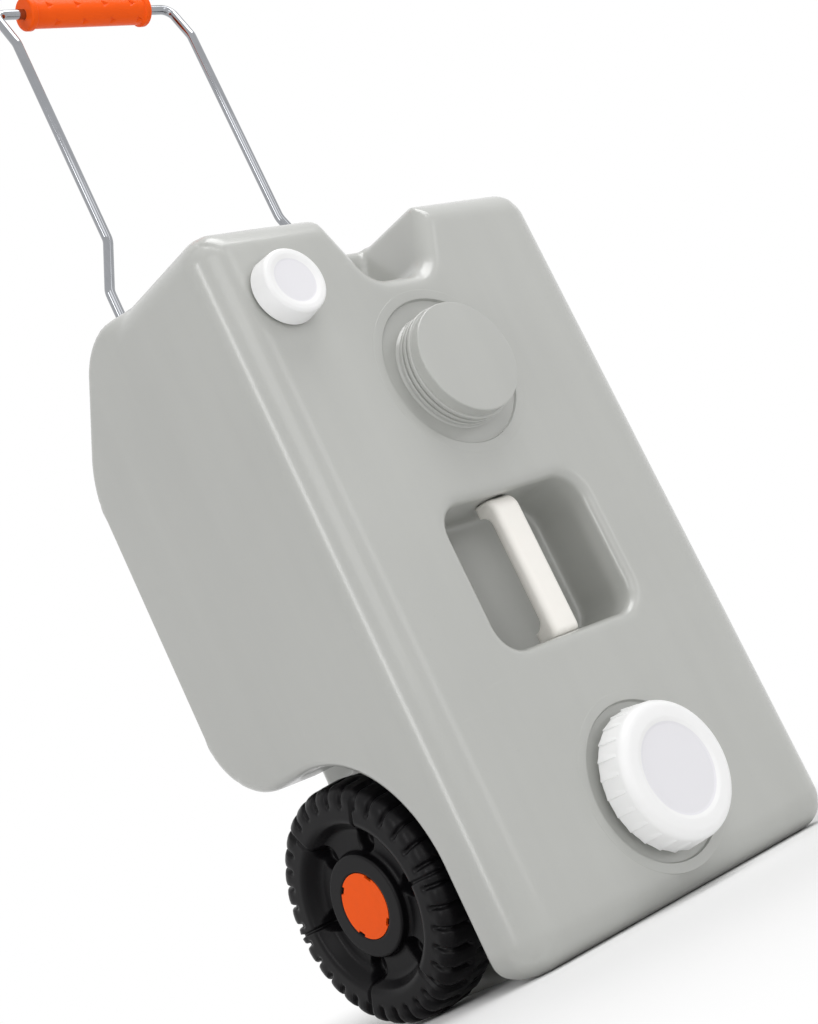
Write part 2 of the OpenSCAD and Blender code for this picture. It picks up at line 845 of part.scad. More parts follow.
// Pull handle: a rod drawn as a run of straights and bends, each carrying what comes after it.
// A bend is a trace fatter than the straights, whose ends lap into it.
bend_lap = 0.5;
bend_swell = 0.03;

module straight(l) {
    translate([0, 0, -bend_lap]) cylinder(d = rod_d, h = l + 2 * bend_lap);
    translate([0, 0, l]) children();
}

module bend(angle, r, heading) {
    rotate(heading) {
        translate([-r, 0, 0])
            rotate([90, 0, 0])
                rotate_extrude(angle = angle) translate([r, 0]) circle(d = rod_d + 2 * bend_swell);
        translate([-r * (1 - cos(angle)), 0, r * sin(angle)])
            rotate([0, -angle, 0])
                rotate(-heading) children();
    }
}

toward_middle = 0;
outward = 180;
backward = -90;
joggle_height = 2 * bend_r * sin(joggle_angle) + joggle_rise * cos(joggle_angle);
stop_floor = 2;
rod_foot_z = rod_end_z + stop_floor + bend_lap;

module handle_half() {
    translate([rod_low_x, rod_y, rod_foot_z])
        straight(joggle_z - rod_foot_z)
            bend(joggle_angle, bend_r, toward_middle)
                straight(joggle_rise)
                    bend(joggle_angle, bend_r, outward)
                        straight(crank_z - joggle_z - joggle_height)
                            bend(crank_angle, bend_r, backward)
                                straight(crank_l) bend(90, corner_r, toward_middle);
}

module pull_handle_rod() {
    span = 2 * (rod_high_x - corner_r + bend_lap);
    color("#d9dbde") at_front() {
        both_sides() handle_half();
        translate([-span / 2, grip_y, grip_z]) rotate([0, 90, 0]) cylinder(d = rod_d, h = span);
    }
}

dent_columns = 4;
dent_rows = 5;
dent_size = 2.4;
dent_pitch = 31;

module grip_sleeve() {
    bore_d = rod_d + 2 * rod_clearance;
    hollow_l = grip_l - 2 * grip_flange_w;
    color("#ff621c") at_front() translate([0, grip_y, grip_z]) rotate([0, 90, 0]) difference() {
        union() {
            translate([0, 0, -grip_l / 2]) cylinder(d = grip_d, h = grip_l);
            for (end = [-1, 1]) {
                translate([0, 0, end * (grip_l - grip_flange_w) / 2 - grip_flange_w / 2])
                    rotate_extrude()
                        rounded_outline(
                            box(0, 0, grip_flange_d / 2, grip_flange_w), [0, 2, 2, 0]
                        );
            }
        }
        translate([0, 0, -grip_l]) cylinder(d = bore_d, h = 2 * grip_l);
        translate([0, 0, -hollow_l / 2]) cylinder(d = grip_d - 2 * (grip_wall + dent_depth), h = hollow_l);
        for (row = [0 : dent_rows - 1], column = [0 : dent_columns - 1]) {
            rotate((row + 0.5) * 360 / dent_rows)
                translate([
                    grip_d / 2 - dent_depth, 0,
                    (column - (dent_columns - 1) / 2) * dent_pitch + (row % 2 == 0 ? 0 : dent_pitch / 4),
                ])
                    rotate([0, 90, 0]) cylinder(r = dent_size, h = 2 * dent_depth, $fn = 3);
        }
    }
}

stop_bore_d = rod_d + 0.04;

module rod_stop(side) {
    color("#28272a") at_front() translate([side * rod_low_x, rod_y, rod_end_z]) difference() {
        rotate_extrude() rounded_outline(box(0, 0, stop_d / 2, stop_l), [0, 1.5, 0.5, 0]);
        translate([0, 0, stop_floor]) cylinder(d = stop_bore_d, h = stop_l);
    }
}

module left_rod_stop() {
    rod_stop(-1);
}

module right_rod_stop() {
    rod_stop(1);
}

// Guides: blocks that fill a groove, bored for the rod and held by a screw into the tank's boss
module guide(side, z) {
    x0 = groove_in_x + guide_clearance;
    x1 = groove_out_x - guide_clearance;
    color("#28272a") at_front() mirror([side < 0 ? 1 : 0, 0, 0]) difference() {
        translate([0, 0, z])
            linear_extrude(guide_h)
                rounded_outline(box(x0, groove_floor_y, x1, groove_floor_y + guide_t), [0, 0, 5, 5]);
        translate([rod_low_x, rod_y, z - over])
            cylinder(d = rod_d + 2 * rod_clearance, h = guide_h + 2 * over);
        translate([guide_screw_x, groove_floor_y + guide_t + over, z + guide_h / 2])
            rotate([90, 0, 0]) cylinder(d = screw_hole_d, h = guide_t + 2 * over);
    }
}

module left_lower_guide() {
    guide(-1, guide_low_z);
}

module right_lower_guide() {
    guide(1, guide_low_z);
}

module left_upper_guide() {
    guide(-1, guide_high_z);
}

module right_upper_guide() {
    guide(1, guide_high_z);
}

screw_head_t = 3;

module guide_screws() {
    color("#c9ccd0") at_front() both_sides() {
        guide_screw_places() {
            translate([0, 0, -guide_t]) cylinder(d = screw_d, h = screw_l);
            translate([0, 0, -guide_t - screw_head_t])
                rotate_extrude()
                    rounded_outline(box(0, 0, screw_head_d / 2, screw_head_t), [0, 1.4, 0, 0]);
        }
    }
}

tank_shell();
drain_cap();
drain_cap_seal();
vent_cap();
vent_cap_seal();
carry_bar();
axle();
left_wheel();
right_wheel();
left_hub_cap();
right_hub_cap();
left_push_nut();
right_push_nut();
left_wheel_spacer();
right_wheel_spacer();
pull_handle_rod();
grip_sleeve();
left_rod_stop();
right_rod_stop();
left_lower_guide();
right_lower_guide();
left_upper_guide();
right_upper_guide();
guide_screws();
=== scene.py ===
import logging
import math
from collections.abc import Iterator
from contextlib import contextmanager
from dataclasses import dataclass, field, replace
from enum import Enum
from typing import Any

import bmesh
import bpy
import numpy as np
from mathutils import Matrix, Vector


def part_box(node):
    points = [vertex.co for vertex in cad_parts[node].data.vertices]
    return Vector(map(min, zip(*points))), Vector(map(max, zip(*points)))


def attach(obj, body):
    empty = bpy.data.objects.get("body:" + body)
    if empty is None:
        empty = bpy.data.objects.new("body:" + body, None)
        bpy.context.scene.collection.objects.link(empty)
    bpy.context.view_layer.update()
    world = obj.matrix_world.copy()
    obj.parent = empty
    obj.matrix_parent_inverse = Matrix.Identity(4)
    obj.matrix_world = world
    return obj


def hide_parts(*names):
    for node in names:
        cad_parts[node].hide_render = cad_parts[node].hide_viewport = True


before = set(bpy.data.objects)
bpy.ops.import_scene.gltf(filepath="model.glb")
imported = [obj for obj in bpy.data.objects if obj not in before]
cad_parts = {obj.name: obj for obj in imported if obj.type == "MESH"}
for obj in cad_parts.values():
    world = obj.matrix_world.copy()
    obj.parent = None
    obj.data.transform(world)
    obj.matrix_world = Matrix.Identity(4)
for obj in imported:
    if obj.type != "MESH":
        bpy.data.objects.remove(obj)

LOG = logging.getLogger("water_carrier")
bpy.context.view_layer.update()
MM = 0.001
MERGE = 1e-7
FULL_TURN = 2.0 * math.pi
LATHE_STEPS = 160

# Lengths are in millimetres and become metres by MM. The necks are given by X and Z, the axle by Y and Z.
FRONT_Y = -103.0
DRAIN = (0.0, 78.0)
SPARE = (0.0, 394.0)
VENT = (-113.0, 473.0)
AXLE = (39.0, 85.5)

Rgb = tuple[float, float, float]
Corner = tuple[float, float, float]
Place = tuple[float, float, float]


class Side(Enum):
    """The two sides of the carrier, by the sign of X."""

    LEFT = -1
    RIGHT = 1


def linear(color: Rgb) -> tuple[float, float, float, float]:
    """Turn a display colour into scene-linear red, green, blue and alpha.

    Args:
        color: Red, green and blue from 0 to 255, as a screen shows them.

    Returns:
        The linear colour with an alpha of 1.
    """
    parts = [c / 255.0 for c in color]
    straight = [p / 12.92 if p <= 0.04045 else ((p + 0.055) / 1.055) ** 2.4 for p in parts]
    return (straight[0], straight[1], straight[2], 1.0)


class Sock:
    """A node socket that takes part in plain sums."""

    def __init__(self, graph: "Graph", socket: bpy.types.NodeSocket) -> None:
        """Keep the socket and the graph that its maths is added to."""
        self.graph = graph
        self.socket = socket

    def _math(self, operation: str, first: Any, second: Any) -> "Sock":
        """Add one Math node on two values."""
        return self.graph.add("ShaderNodeMath", {"operation": operation}, {0: first, 1: second})

    def __add__(self, other: Any) -> "Sock":
        """Add a value."""
        return self._math("ADD", self, other)

    def __radd__(self, other: Any) -> "Sock":
        """Add to a value."""
        return self._math("ADD", other, self)

    def __sub__(self, other: Any) -> "Sock":
        """Take a value away."""
        return self._math("SUBTRACT", self, other)

    def __rsub__(self, other: Any) -> "Sock":
        """Take this away from a value."""
        return self._math("SUBTRACT", other, self)

    def __mul__(self, other: Any) -> "Sock":
        """Multiply by a value."""
        return self._math("MULTIPLY", self, other)

    def __rmul__(self, other: Any) -> "Sock":
        """Multiply a value."""
        return self._math("MULTIPLY", other, self)

    def __truediv__(self, other: Any) -> "Sock":
        """Divide by a value."""
        return self._math("DIVIDE", self, other)

    def __rtruediv__(self, other: Any) -> "Sock":
        """Divide a value by this."""
        return self._math("DIVIDE", other, self)

    def most(self, other: Any) -> "Sock":
        """Take the larger of two values."""
        return self._math("MAXIMUM", self, other)

    def between(self, low: float, high: float) -> "Sock":
        """Rise smoothly from 0 at low to 1 at high."""
        limits = {"Value": self, "From Min": low, "From Max": high}
        return self.graph.add("ShaderNodeMapRange", {"interpolation_type": "SMOOTHSTEP"}, limits)


class Graph:
    """A node tree that is filled through one method."""

    def __init__(self, tree: bpy.types.NodeTree) -> None:
        """Keep the tree that nodes are added to."""
        self.tree = tree

    def add(
        self,
        kind: str,
        settings: dict[str, Any] | None = None,
        inputs: dict[int | str, Any] | None = None,
        output: int | str = 0,
    ) -> Sock:
        """Add a node, set its settings first, then its sockets.

        Args:
            kind: The node's type.
            settings: Attributes of the node.
            inputs: Values or links by socket name or number.
            output: The output socket that is returned.

        Returns:
            The chosen output socket.
        """
        node = self.tree.nodes.new(kind)
        for key, value in (settings or {}).items():
            setattr(node, key, value)
        for key, value in (inputs or {}).items():
            self.feed(node.inputs[key], value)
        return Sock(self, node.outputs[output]) if node.outputs else None

    def feed(self, socket: bpy.types.NodeSocket, value: Any) -> None:
        """Link a socket, or set its value.

        Args:
            socket: The input socket.
            value: A socket to link it to, or its value.
        """
        if isinstance(value, Sock):
            self.tree.links.new(value.socket, socket)
        else:
            socket.default_value = value

    def noise(
        self, scale: float, detail: float = 3.0, stretch: Place = (1.0, 1.0, 1.0), turn: Place = (0.0, 0.0, 0.0)
    ) -> Sock:
        """Add noise on Object coordinates.

        Args:
            scale: Features for each metre.
            detail: Octaves.
            stretch: Scale along each axis.
            turn: Turn of the pattern about each axis, in radians.

        Returns:
            The noise, from 0 to 1.
        """
        place = self.add("ShaderNodeTexCoord", output="Object")
        laid = self.add("ShaderNodeMapping", None, {"Vector": place, "Scale": stretch, "Rotation": turn})
        return self.add("ShaderNodeTexNoise", None, {"Vector": laid, "Scale": scale, "Detail": detail})

    def blend(self, share: Any, first: Any, second: Any) -> Sock:
        """Mix two colours by a share from 0 to 1."""
        return self.add("ShaderNodeMix", {"data_type": "RGBA"}, {0: share, 6: first, 7: second}, 2)

    def seen(self) -> Sock:
        """Tell the rays that may see the white background from those that carry light.

        Returns:
            1 for rays of the camera, of reflections and of transmission, and 0 for all others.
        """
        kinds = ("Camera", "Glossy", "Transmission")
        camera, glossy, through = (self.add("ShaderNodeLightPath", output=f"Is {kind} Ray") for kind in kinds)
        return (camera + glossy + through).between(0.0, 1.0)


def linked(name: str, data: Any) -> bpy.types.Object:
    """Make an object and put it into the scene.

    Args:
        name: The object's name.
        data: Its mesh, lamp or camera.

    Returns:
        The new object.
    """
    made = bpy.data.objects.new(name, data)
    bpy.context.scene.collection.objects.link(made)
    return made


def scaled(color: tuple[float, float, float, float], by: float) -> tuple[float, float, float, float]:
    """Make a linear colour lighter or darker."""
    return (color[0] * by, color[1] * by, color[2] * by, 1.0)


def fresh_material(name: str) -> tuple[bpy.types.Material, Graph]:
    """Make an empty node material.

    Args:
        name: The material's name.

    Returns:
        The material and a graph on its tree.
    """
    material = bpy.data.materials.new(name)
    material.use_nodes = True
    material.node_tree.nodes.clear()
    return material, Graph(material.node_tree)


def close_material(graph: Graph, **sockets: Any) -> None:
    """End a material in its one shader.

    Args:
        graph: The material's graph.
        sockets: Values or links for the shader, with _ for a blank in a name.
    """
    values = {key.replace("_", " "): value for key, value in sockets.items()}
    shader = graph.add("ShaderNodeBsdfPrincipled", None, values)
    graph.add("ShaderNodeOutputMaterial", None, {"Surface": shader})


@dataclass(frozen=True)
class MouldedPlastic:
    """Moulded plastic with a faint mottle, a fine spark grain and light handling marks."""

    name: str
    color: Rgb
    roughness: float
    mottle: float = 0.04
    grain: float = 0.12
    grain_scale: float = 900.0
    scuffs: float = 0.10
    disc: Place | None = None
    disc_color: Rgb = (238, 237, 241)
    shine: float = 0.5

    def toned(self, graph: Graph, body: Sock) -> Sock:
        """Give the sunk disc of a cap its own tone.

        Args:
            graph: The material's graph.
            body: The colour elsewhere.

        Returns:
            The colour with the disc in it.
        """
        x, z, radius = self.disc
        place = graph.add("ShaderNodeTexCoord", output="Object")
        moved = graph.add("ShaderNodeVectorMath", {"operation": "SUBTRACT"}, {0: place, 1: (x * MM, 0.0, z * MM)})
        flat = graph.add("ShaderNodeVectorMath", {"operation": "MULTIPLY"}, {0: moved, 1: (1.0, 0.0, 1.0)})
        away = graph.add("ShaderNodeVectorMath", {"operation": "LENGTH"}, {0: flat}, "Value")
        return graph.blend(away.between((radius - 0.8) * MM, radius * MM), linear(self.disc_color), body)

    def material(self) -> bpy.types.Material:
        """Build the material.

        Returns:
            A material whose colour, roughness and bump vary over the surface.
        """
        material, graph = fresh_material(self.name)
        base = linear(self.color)
        cloud = graph.noise(11.0, 4.0)
        fine = graph.noise(160.0, 3.0)
        grain = graph.noise(self.grain_scale, 2.0)
        marks = graph.noise(70.0, 5.0, (1.0, 1.0, 0.12), (0.3, 0.5, 0.2)).between(0.66, 0.74)
        shade = (cloud * 0.7 + fine * 0.3).between(0.3, 0.7)
        body = graph.blend(shade, scaled(base, 1.0 - self.mottle), scaled(base, 1.0 + self.mottle))
        if self.disc:
            body = self.toned(graph, body)
        worn = graph.blend(marks * self.scuffs, body, scaled(base, 1.0 + 3.0 * self.mottle))
        rough = (cloud - 0.5) * 0.16 + (fine - 0.5) * 0.08 + marks * (0.6 * self.scuffs) + self.roughness
        bump = graph.add(
            "ShaderNodeBump", None, {"Height": grain * 0.7 + fine * 0.3, "Strength": self.grain, "Distance": 0.0004}
        )
        close_material(graph, Base_Color=worn, Roughness=rough, Normal=bump, Specular_IOR_Level=self.shine)
        return material


@dataclass(frozen=True)
class BlownTankPlastic:
    """Blow-moulded polyethylene: waxy, faintly streaked along the parison, with soft ripples."""

    name: str
    color: Rgb
    roughness: float
    coat: float

    def material(self) -> bpy.types.Material:
        """Build the material.

        Returns:
            A material with streaks, cloudiness, a fine grain and rubbed marks.
        """
        material, graph = fresh_material(self.name)
        base = linear(self.color)
        cloud = graph.noise(6.0, 4.0)
        streak = graph.noise(38.0, 4.0, (1.0, 1.0, 0.06))
        speck = graph.noise(520.0, 2.0).between(0.70, 0.76)
        ripple = graph.noise(55.0, 2.0, (1.0, 1.0, 0.5))
        grain = graph.noise(1300.0, 2.0)
        rubs = graph.noise(90.0, 5.0, (0.1, 1.0, 1.0), (0.5, 0.2, 0.6)).between(0.68, 0.76)
        shade = (cloud * 0.6 + streak * 0.4).between(0.32, 0.68)
        body = graph.blend(shade, scaled(base, 0.97), scaled(base, 1.03))
        specked = graph.blend(speck * 0.22, body, scaled(base, 0.80))
        worn = graph.blend(rubs * 0.16, specked, scaled(base, 1.16))
        rough = (cloud - 0.5) * 0.12 + (streak - 0.5) * 0.10 + rubs * 0.05 + self.roughness
        bump = graph.add(
            "ShaderNodeBump", None, {"Height": ripple * 0.75 + grain * 0.25, "Strength": 0.10, "Distance": 0.0008}
        )
        close_material(
            graph, Base_Color=worn, Roughness=rough, Normal=bump, Coat_Weight=self.coat, Coat_Roughness=0.17
        )
        return material


@dataclass(frozen=True)
class BrightMetal:
    """Plated or bare steel with drawn streaks and a little haze."""

    name: str
    color: Rgb
    roughness: float
    haze: float

    def material(self) -> bpy.types.Material:
        """Build the material.

        Returns:
            A metal whose colour and roughness vary along fine streaks.
        """
        material, graph = fresh_material(self.name)
        base = linear(self.color)
        streak = graph.noise(700.0, 3.0, (1.0, 1.0, 0.04))
        cloud = graph.noise(45.0, 4.0)
        shade = (streak * 0.5 + cloud * 0.5).between(0.3, 0.7)
        body = graph.blend(shade, scaled(base, 0.90), base)
        rough = (cloud - 0.4).most(0.0) * self.haze + (streak - 0.5).most(0.0) * (0.5 * self.haze) + self.roughness
        bump = graph.add("ShaderNodeBump", None, {"Height": streak, "Strength": 0.03, "Distance": 0.0002})
        close_material(graph, Base_Color=body, Roughness=rough, Normal=bump, Metallic=1.0)
        return material


class Finishes:
    """All the finishes of the carrier, each built once."""

    def __init__(self) -> None:
        """Build the materials."""
        self.tank = BlownTankPlastic("tank_plastic", (183, 184, 180), 0.34, 0.7).material()
        self.drain_cap = MouldedPlastic(
            "drain_cap_plastic", (250, 250, 250), 0.36, 0.015, 0.05, 1100.0, disc=(*DRAIN, 33.0)
        ).material()
        self.vent_cap = MouldedPlastic(
            "vent_cap_plastic", (250, 250, 250), 0.36, 0.015, 0.05, 1100.0, disc=(*VENT, 16.8)
        ).material()
        self.bar = MouldedPlastic("bar_plastic", (255, 252, 246), 0.34, 0.015, 0.06, 1100.0).material()
        self.orange = MouldedPlastic("orange_plastic", (255, 92, 6), 0.38, 0.04, 0.10, 1000.0, shine=0.15).material()
        self.wheel = MouldedPlastic("wheel_plastic", (14, 13, 15), 0.34, 0.12, 0.16, 800.0, 0.2, shine=0.15).material()
        self.black = MouldedPlastic("fitting_plastic", (30, 30, 32), 0.50, 0.10, 0.20, 800.0, 0.15).material()
        self.spacer = MouldedPlastic("spacer_plastic", (58, 58, 60), 0.5, 0.08, 0.15, 900.0).material()
        self.seal = MouldedPlastic("seal_rubber", (36, 36, 37), 0.72, 0.10, 0.30, 700.0).material()
        self.chrome = BrightMetal("chromed_rod", (158, 160, 164), 0.06, 0.14).material()
        self.steel = BrightMetal("zinc_steel", (186, 188, 192), 0.28, 0.30).material()


def piece_of(name: str, mesh: bpy.types.Mesh, material: bpy.types.Material) -> bpy.types.Object:
    """Put a mesh into the scene as one smooth-shaded piece.

    Args:
        name: The piece's name.
        mesh: Its mesh, placed in the carrier's frame in metres.
        material: Its finish.

    Returns:
        The new object, at the origin.
    """
    mesh.materials.clear()
    mesh.materials.append(material)
    mesh.polygons.foreach_set("material_index", np.zeros(len(mesh.polygons), dtype=np.int32))
    mesh.polygons.foreach_set("use_smooth", np.ones(len(mesh.polygons), dtype=bool))
    return linked(name, mesh)


def settle(piece: bpy.types.Object, body: str, slot: str, *nodes: str) -> None:
    """Fix a piece to its body, hide the nodes it stands for, and report it.

    Args:
        piece: The finished piece.
        body: The body it rides on.
        slot: Not used.
        nodes: CAD nodes that the piece replaces.
    """
    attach(piece, body)
    if nodes:
        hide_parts(*nodes)
    LOG.info("%s rides on %s, %d faces", piece.name, body, len(piece.data.polygons))


def dress(material: bpy.types.Material, *nodes: str) -> None:
    """Give carried-over CAD nodes a finish.

    Args:
        material: The finish.
        nodes: The nodes' names.
    """
    for node in nodes:
        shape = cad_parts[node]
        if not shape.material_slots:
            shape.data.materials.append(material)
        for slot in shape.material_slots:
            slot.material = material
        LOG.info("%s dressed with %s", node, material.name)


@contextmanager
def edited(mesh: bpy.types.Mesh) -> Iterator[bmesh.types.BMesh]:
    """Open a mesh for edits and write it back at the end.

    Args:
        mesh: The mesh, which may be empty.

    Yields:
        The open shape.
    """
    shape = bmesh.new()
    shape.from_mesh(mesh)
    yield shape
    shape.to_mesh(mesh)
    shape.free()


def frozen(holder: bpy.types.Object) -> bpy.types.Mesh:
    """Take an object's shape after its modifiers as a plain mesh.

    Args:
        holder: The object; it is removed, with its modifiers.

    Returns:
        The plain mesh.
    """
    view = bpy.context.evaluated_depsgraph_get()
    mesh = bpy.data.meshes.new_from_object(holder.evaluated_get(view))
    bpy.data.objects.remove(holder)
    return mesh


def mesh_of(name: str, points: np.ndarray, faces: list[tuple[int, ...]]) -> bpy.types.Mesh:
    """Make a mesh from points in millimetres, with doubles merged and faces outwards.

    Args:
        name: The mesh's name.
        points: Points in millimetres, one row each.
        faces: Point numbers of each face.

    Returns:
        The mesh in metres.
    """
    mesh = bpy.data.meshes.new(name)
    mesh.from_pydata((np.asarray(points) * MM).tolist(), [], faces)
    with edited(mesh) as shape:
        bmesh.ops.remove_doubles(shape, verts=shape.verts, dist=MERGE)
        bmesh.ops.recalc_face_normals(shape, faces=shape.faces)
    return mesh


def grid_faces(rows: int, columns: int, loop_rows: bool, loop_columns: bool) -> list[tuple[int, int, int, int]]:
    """List the quads of a grid of points.

    Args:
        rows: Rows of points.
        columns: Points in a row.
        loop_rows: Whether the last row joins the first.
        loop_columns: Whether a row's last point joins its first.

    Returns:
        Point numbers of each quad.
    """
    faces = []
    for i in range(rows if loop_rows else rows - 1):
        here, there = i * columns, (i + 1) % rows * columns
        for j in range(columns if loop_columns else columns - 1):
            k = (j + 1) % columns
            faces.append((here + j, here + k, there + k, there + j))
    return faces


def capped_faces(rows: int, columns: int) -> list[tuple[int, ...]]:
    """List the quads of a tube of rings of points, and one face over each end."""
    last = (rows - 1) * columns
    return [*grid_faces(rows, columns, False, True), tuple(range(columns)), tuple(range(last, last + columns))]


def about_x(x: np.ndarray, radius: np.ndarray, angle: np.ndarray, y: float, z: float) -> np.ndarray:
    """Turn rows of radii about a line along X.

    Args:
        x: Place of each row along the line.
        radius: Radius of each row at each angle.
        angle: The angles.
        y: Place of the line.
        z: Height of the line.

    Returns:
        The points, row after row.
    """
    parts = (np.broadcast_to(x, radius.shape), y + radius * np.cos(angle), z + radius * np.sin(angle))
    return np.stack(parts, axis=2).reshape(-1, 3)


def rounded(corners: list[Corner], closed: bool, steps: int = 7) -> np.ndarray:
    """Round the corners of an outline.

    Args:
        corners: X, Y and radius of each corner.
        closed: Whether the outline joins up.
        steps: Points on each rounding.

    Returns:
        The outline's points, one row each.
    """
    out: list[np.ndarray] = []
    count = len(corners)
    for i, (x, y, radius) in enumerate(corners):
        here = np.array((x, y))
        if radius <= 0 or (not closed and i in (0, count - 1)):
            out.append(here)
            continue
        back = np.array(corners[i - 1][:2]) - here
        on = np.array(corners[(i + 1) % count][:2]) - here
        back_l, on_l = np.linalg.norm(back), np.linalg.norm(on)
        back, on = back / back_l, on / on_l
        half = math.acos(max(-1.0, min(1.0, float(back @ on)))) / 2
        cut = min(radius / math.tan(half), 0.49 * back_l, 0.49 * on_l)
        size = cut * math.tan(half)
        middle = here + (back + on) / np.linalg.norm(back + on) * size / math.sin(half)
        first, last = here + back * cut - middle, here + on * cut - middle
        sweep = math.atan2(first[0] * last[1] - first[1] * last[0], float(first @ last))
        for t in np.linspace(0.0, sweep, steps):
            c, s = math.cos(t), math.sin(t)
            out.append(middle + np.array((c * first[0] - s * first[1], s * first[0] + c * first[1])))
    return np.array(out)


def resampled(points: np.ndarray, spacing: float) -> np.ndarray:
    """Walk an open line in even steps.

    Args:
        points: The line's points.
        spacing: The length of a step.

    Returns:
        Points along the line, ends included.
    """
    lengths = np.concatenate(([0.0], np.cumsum(np.linalg.norm(np.diff(points, axis=0), axis=1))))
    count = max(2, int(round(lengths[-1] / spacing)) + 1)
    at = np.linspace(0.0, lengths[-1], count)
    return np.stack([np.interp(at, lengths, points[:, k]) for k in range(points.shape[1])], axis=1)


def smooth_step(low: float, high: float, value: np.ndarray) -> np.ndarray:
    """Rise smoothly from 0 at low to 1 at high."""
    t = np.clip((value - low) / (high - low), 0.0, 1.0)
    return t * t * (3.0 - 2.0 * t)


def turned(profile: np.ndarray, steps: int, closed: bool) -> tuple[np.ndarray, list[tuple[int, int, int, int]]]:
    """Revolve a profile of radius and height about local Z.

    Args:
        profile: Radius and height of each point.
        steps: Points round the turn.
        closed: Whether the profile joins up.

    Returns:
        Points with X, Y and height, and the quads between them.
    """
    angle = np.linspace(0.0, FULL_TURN, steps, endpoint=False)
    radius, height = profile[:, 0][:, None], profile[:, 1][:, None]
    points = np.stack(
        (radius * np.cos(angle), radius * np.sin(angle), np.broadcast_to(height, (len(profile), steps))), axis=2
    )
    return points.reshape(-1, 3), grid_faces(len(profile), steps, closed, True)


def on_front(points: np.ndarray, x: float, z: float) -> np.ndarray:
    """Place points whose local Z stands out of the tank's front.

    Args:
        points: Local points.
        x: Place across the front.
        z: Place up the front.

    Returns:
        The points in the carrier's frame.
    """
    return np.stack((points[:, 0] + x, FRONT_Y - points[:, 2], points[:, 1] + z), axis=1)


def front_matrix(x: float, z: float) -> Matrix:
    """Give the same placing as a matrix in metres."""
    return Matrix.Translation(Vector((x, FRONT_Y, z)) * MM) @ Matrix.Rotation(math.pi / 2, 4, "X")


def grown(name: str, tree: bpy.types.NodeTree, values: dict[str, Any]) -> bpy.types.Mesh:
    """Run a tree of nodes once and keep the result as a plain mesh.

    Args:
        name: The mesh's name.
        tree: The tree.
        values: Its inputs by name.

    Returns:
        The evaluated mesh.
    """
    carrier = linked(name, bpy.data.meshes.new(name))
    modifier = carrier.modifiers.new("grow", "NODES")
    modifier.node_group = tree
    for item in tree.interface.items_tree:
        if item.in_out == "INPUT" and item.name in values:
            modifier[item.identifier] = values[item.name]
    return frozen(carrier)


def new_tree(name: str, sizes: dict[str, str]) -> tuple[bpy.types.NodeTree, Graph, dict[str, Sock]]:
    """Start a tree of geometry nodes with named inputs.

    Args:
        name: The tree's name.
        sizes: Input names and their socket types.

    Returns:
        The tree, a graph on it, and its inputs by name.
    """
    tree = bpy.data.node_groups.new(name, "GeometryNodeTree")
    tree.interface.new_socket("Geometry", in_out="INPUT", socket_type="NodeSocketGeometry")
    for key, kind in sizes.items():
        tree.interface.new_socket(key, in_out="INPUT", socket_type=kind)
    tree.interface.new_socket("Geometry", in_out="OUTPUT", socket_type="NodeSocketGeometry")
    graph = Graph(tree)
    return tree, graph, {key: graph.add("NodeGroupInput", output=key) for key in sizes}


def end_tree(graph: Graph, shape: Sock, material: Sock) -> None:
    """End a tree: make its copies real and give them their finish.

    Args:
        graph: The tree's graph.
        shape: What the tree has made.
        material: The finish.
    """
    real = graph.add("GeometryNodeRealizeInstances", None, {0: shape})
    coated = graph.add("GeometryNodeSetMaterial", None, {"Geometry": real, "Material": material})
    graph.add("NodeGroupOutput", None, {0: coated})


def thread_tree() -> bpy.types.NodeTree:
    """Build the tree of a moulded screw thread whose ends run out.

    Returns:
        A tree with inputs Radius, Start, Rise, Turns, Foot, Crest, Depth and Material.
    """
    number = "NodeSocketFloat"
    tree, graph, size = new_tree(
        "moulded_thread",
        {
            "Radius": number, "Start": number, "Rise": number, "Turns": number, "Foot": number, "Crest": number,
            "Depth": number, "Material": "NodeSocketMaterial",
        },
    )
    spiral = graph.add(
        "GeometryNodeCurveSpiral",
        None,
        {
            "Resolution": 72, "Rotations": size["Turns"], "Start Radius": size["Radius"],
            "End Radius": size["Radius"], "Height": size["Rise"], "Reverse": False,
        },
    )
    upright = graph.add("GeometryNodeSetCurveNormal", {"mode": "Z_UP"}, {"Curve": spiral})
    along = graph.add("GeometryNodeSplineParameter", output="Factor")
    ease = along.between(0.0, 0.06) * (1.0 - along.between(0.94, 1.0))
    eased = graph.add("GeometryNodeSetCurveRadius", None, {"Curve": upright, "Radius": ease * 0.97 + 0.03})
    ridge = graph.add(
        "GeometryNodeCurvePrimitiveQuadrilateral",
        {"mode": "TRAPEZOID"},
        {"Height": size["Depth"], "Bottom Width": size["Foot"], "Top Width": size["Crest"], "Offset": 0.0},
    )
    softened = graph.add(
        "GeometryNodeFilletCurve", {"mode": "POLY"}, {"Curve": ridge, "Radius": size["Depth"] * 0.28, "Count": 3}
    )
    turned_ridge = graph.add(
        "GeometryNodeTransform", None, {"Geometry": softened, "Rotation": (0.0, 0.0, math.pi / 2)}
    )
    swept = graph.add(
        "GeometryNodeCurveToMesh", None, {"Curve": eased, "Profile Curve": turned_ridge, "Fill Caps": True}
    )
    lift = graph.add("ShaderNodeCombineXYZ", None, {"Z": size["Start"]})
    placed = graph.add("GeometryNodeTransform", None, {"Geometry": swept, "Translation": lift})
    smooth = graph.add("GeometryNodeSetShadeSmooth", None, {"Geometry": placed, "Shade Smooth": True})
    end_tree(graph, smooth, size["Material"])
    return tree


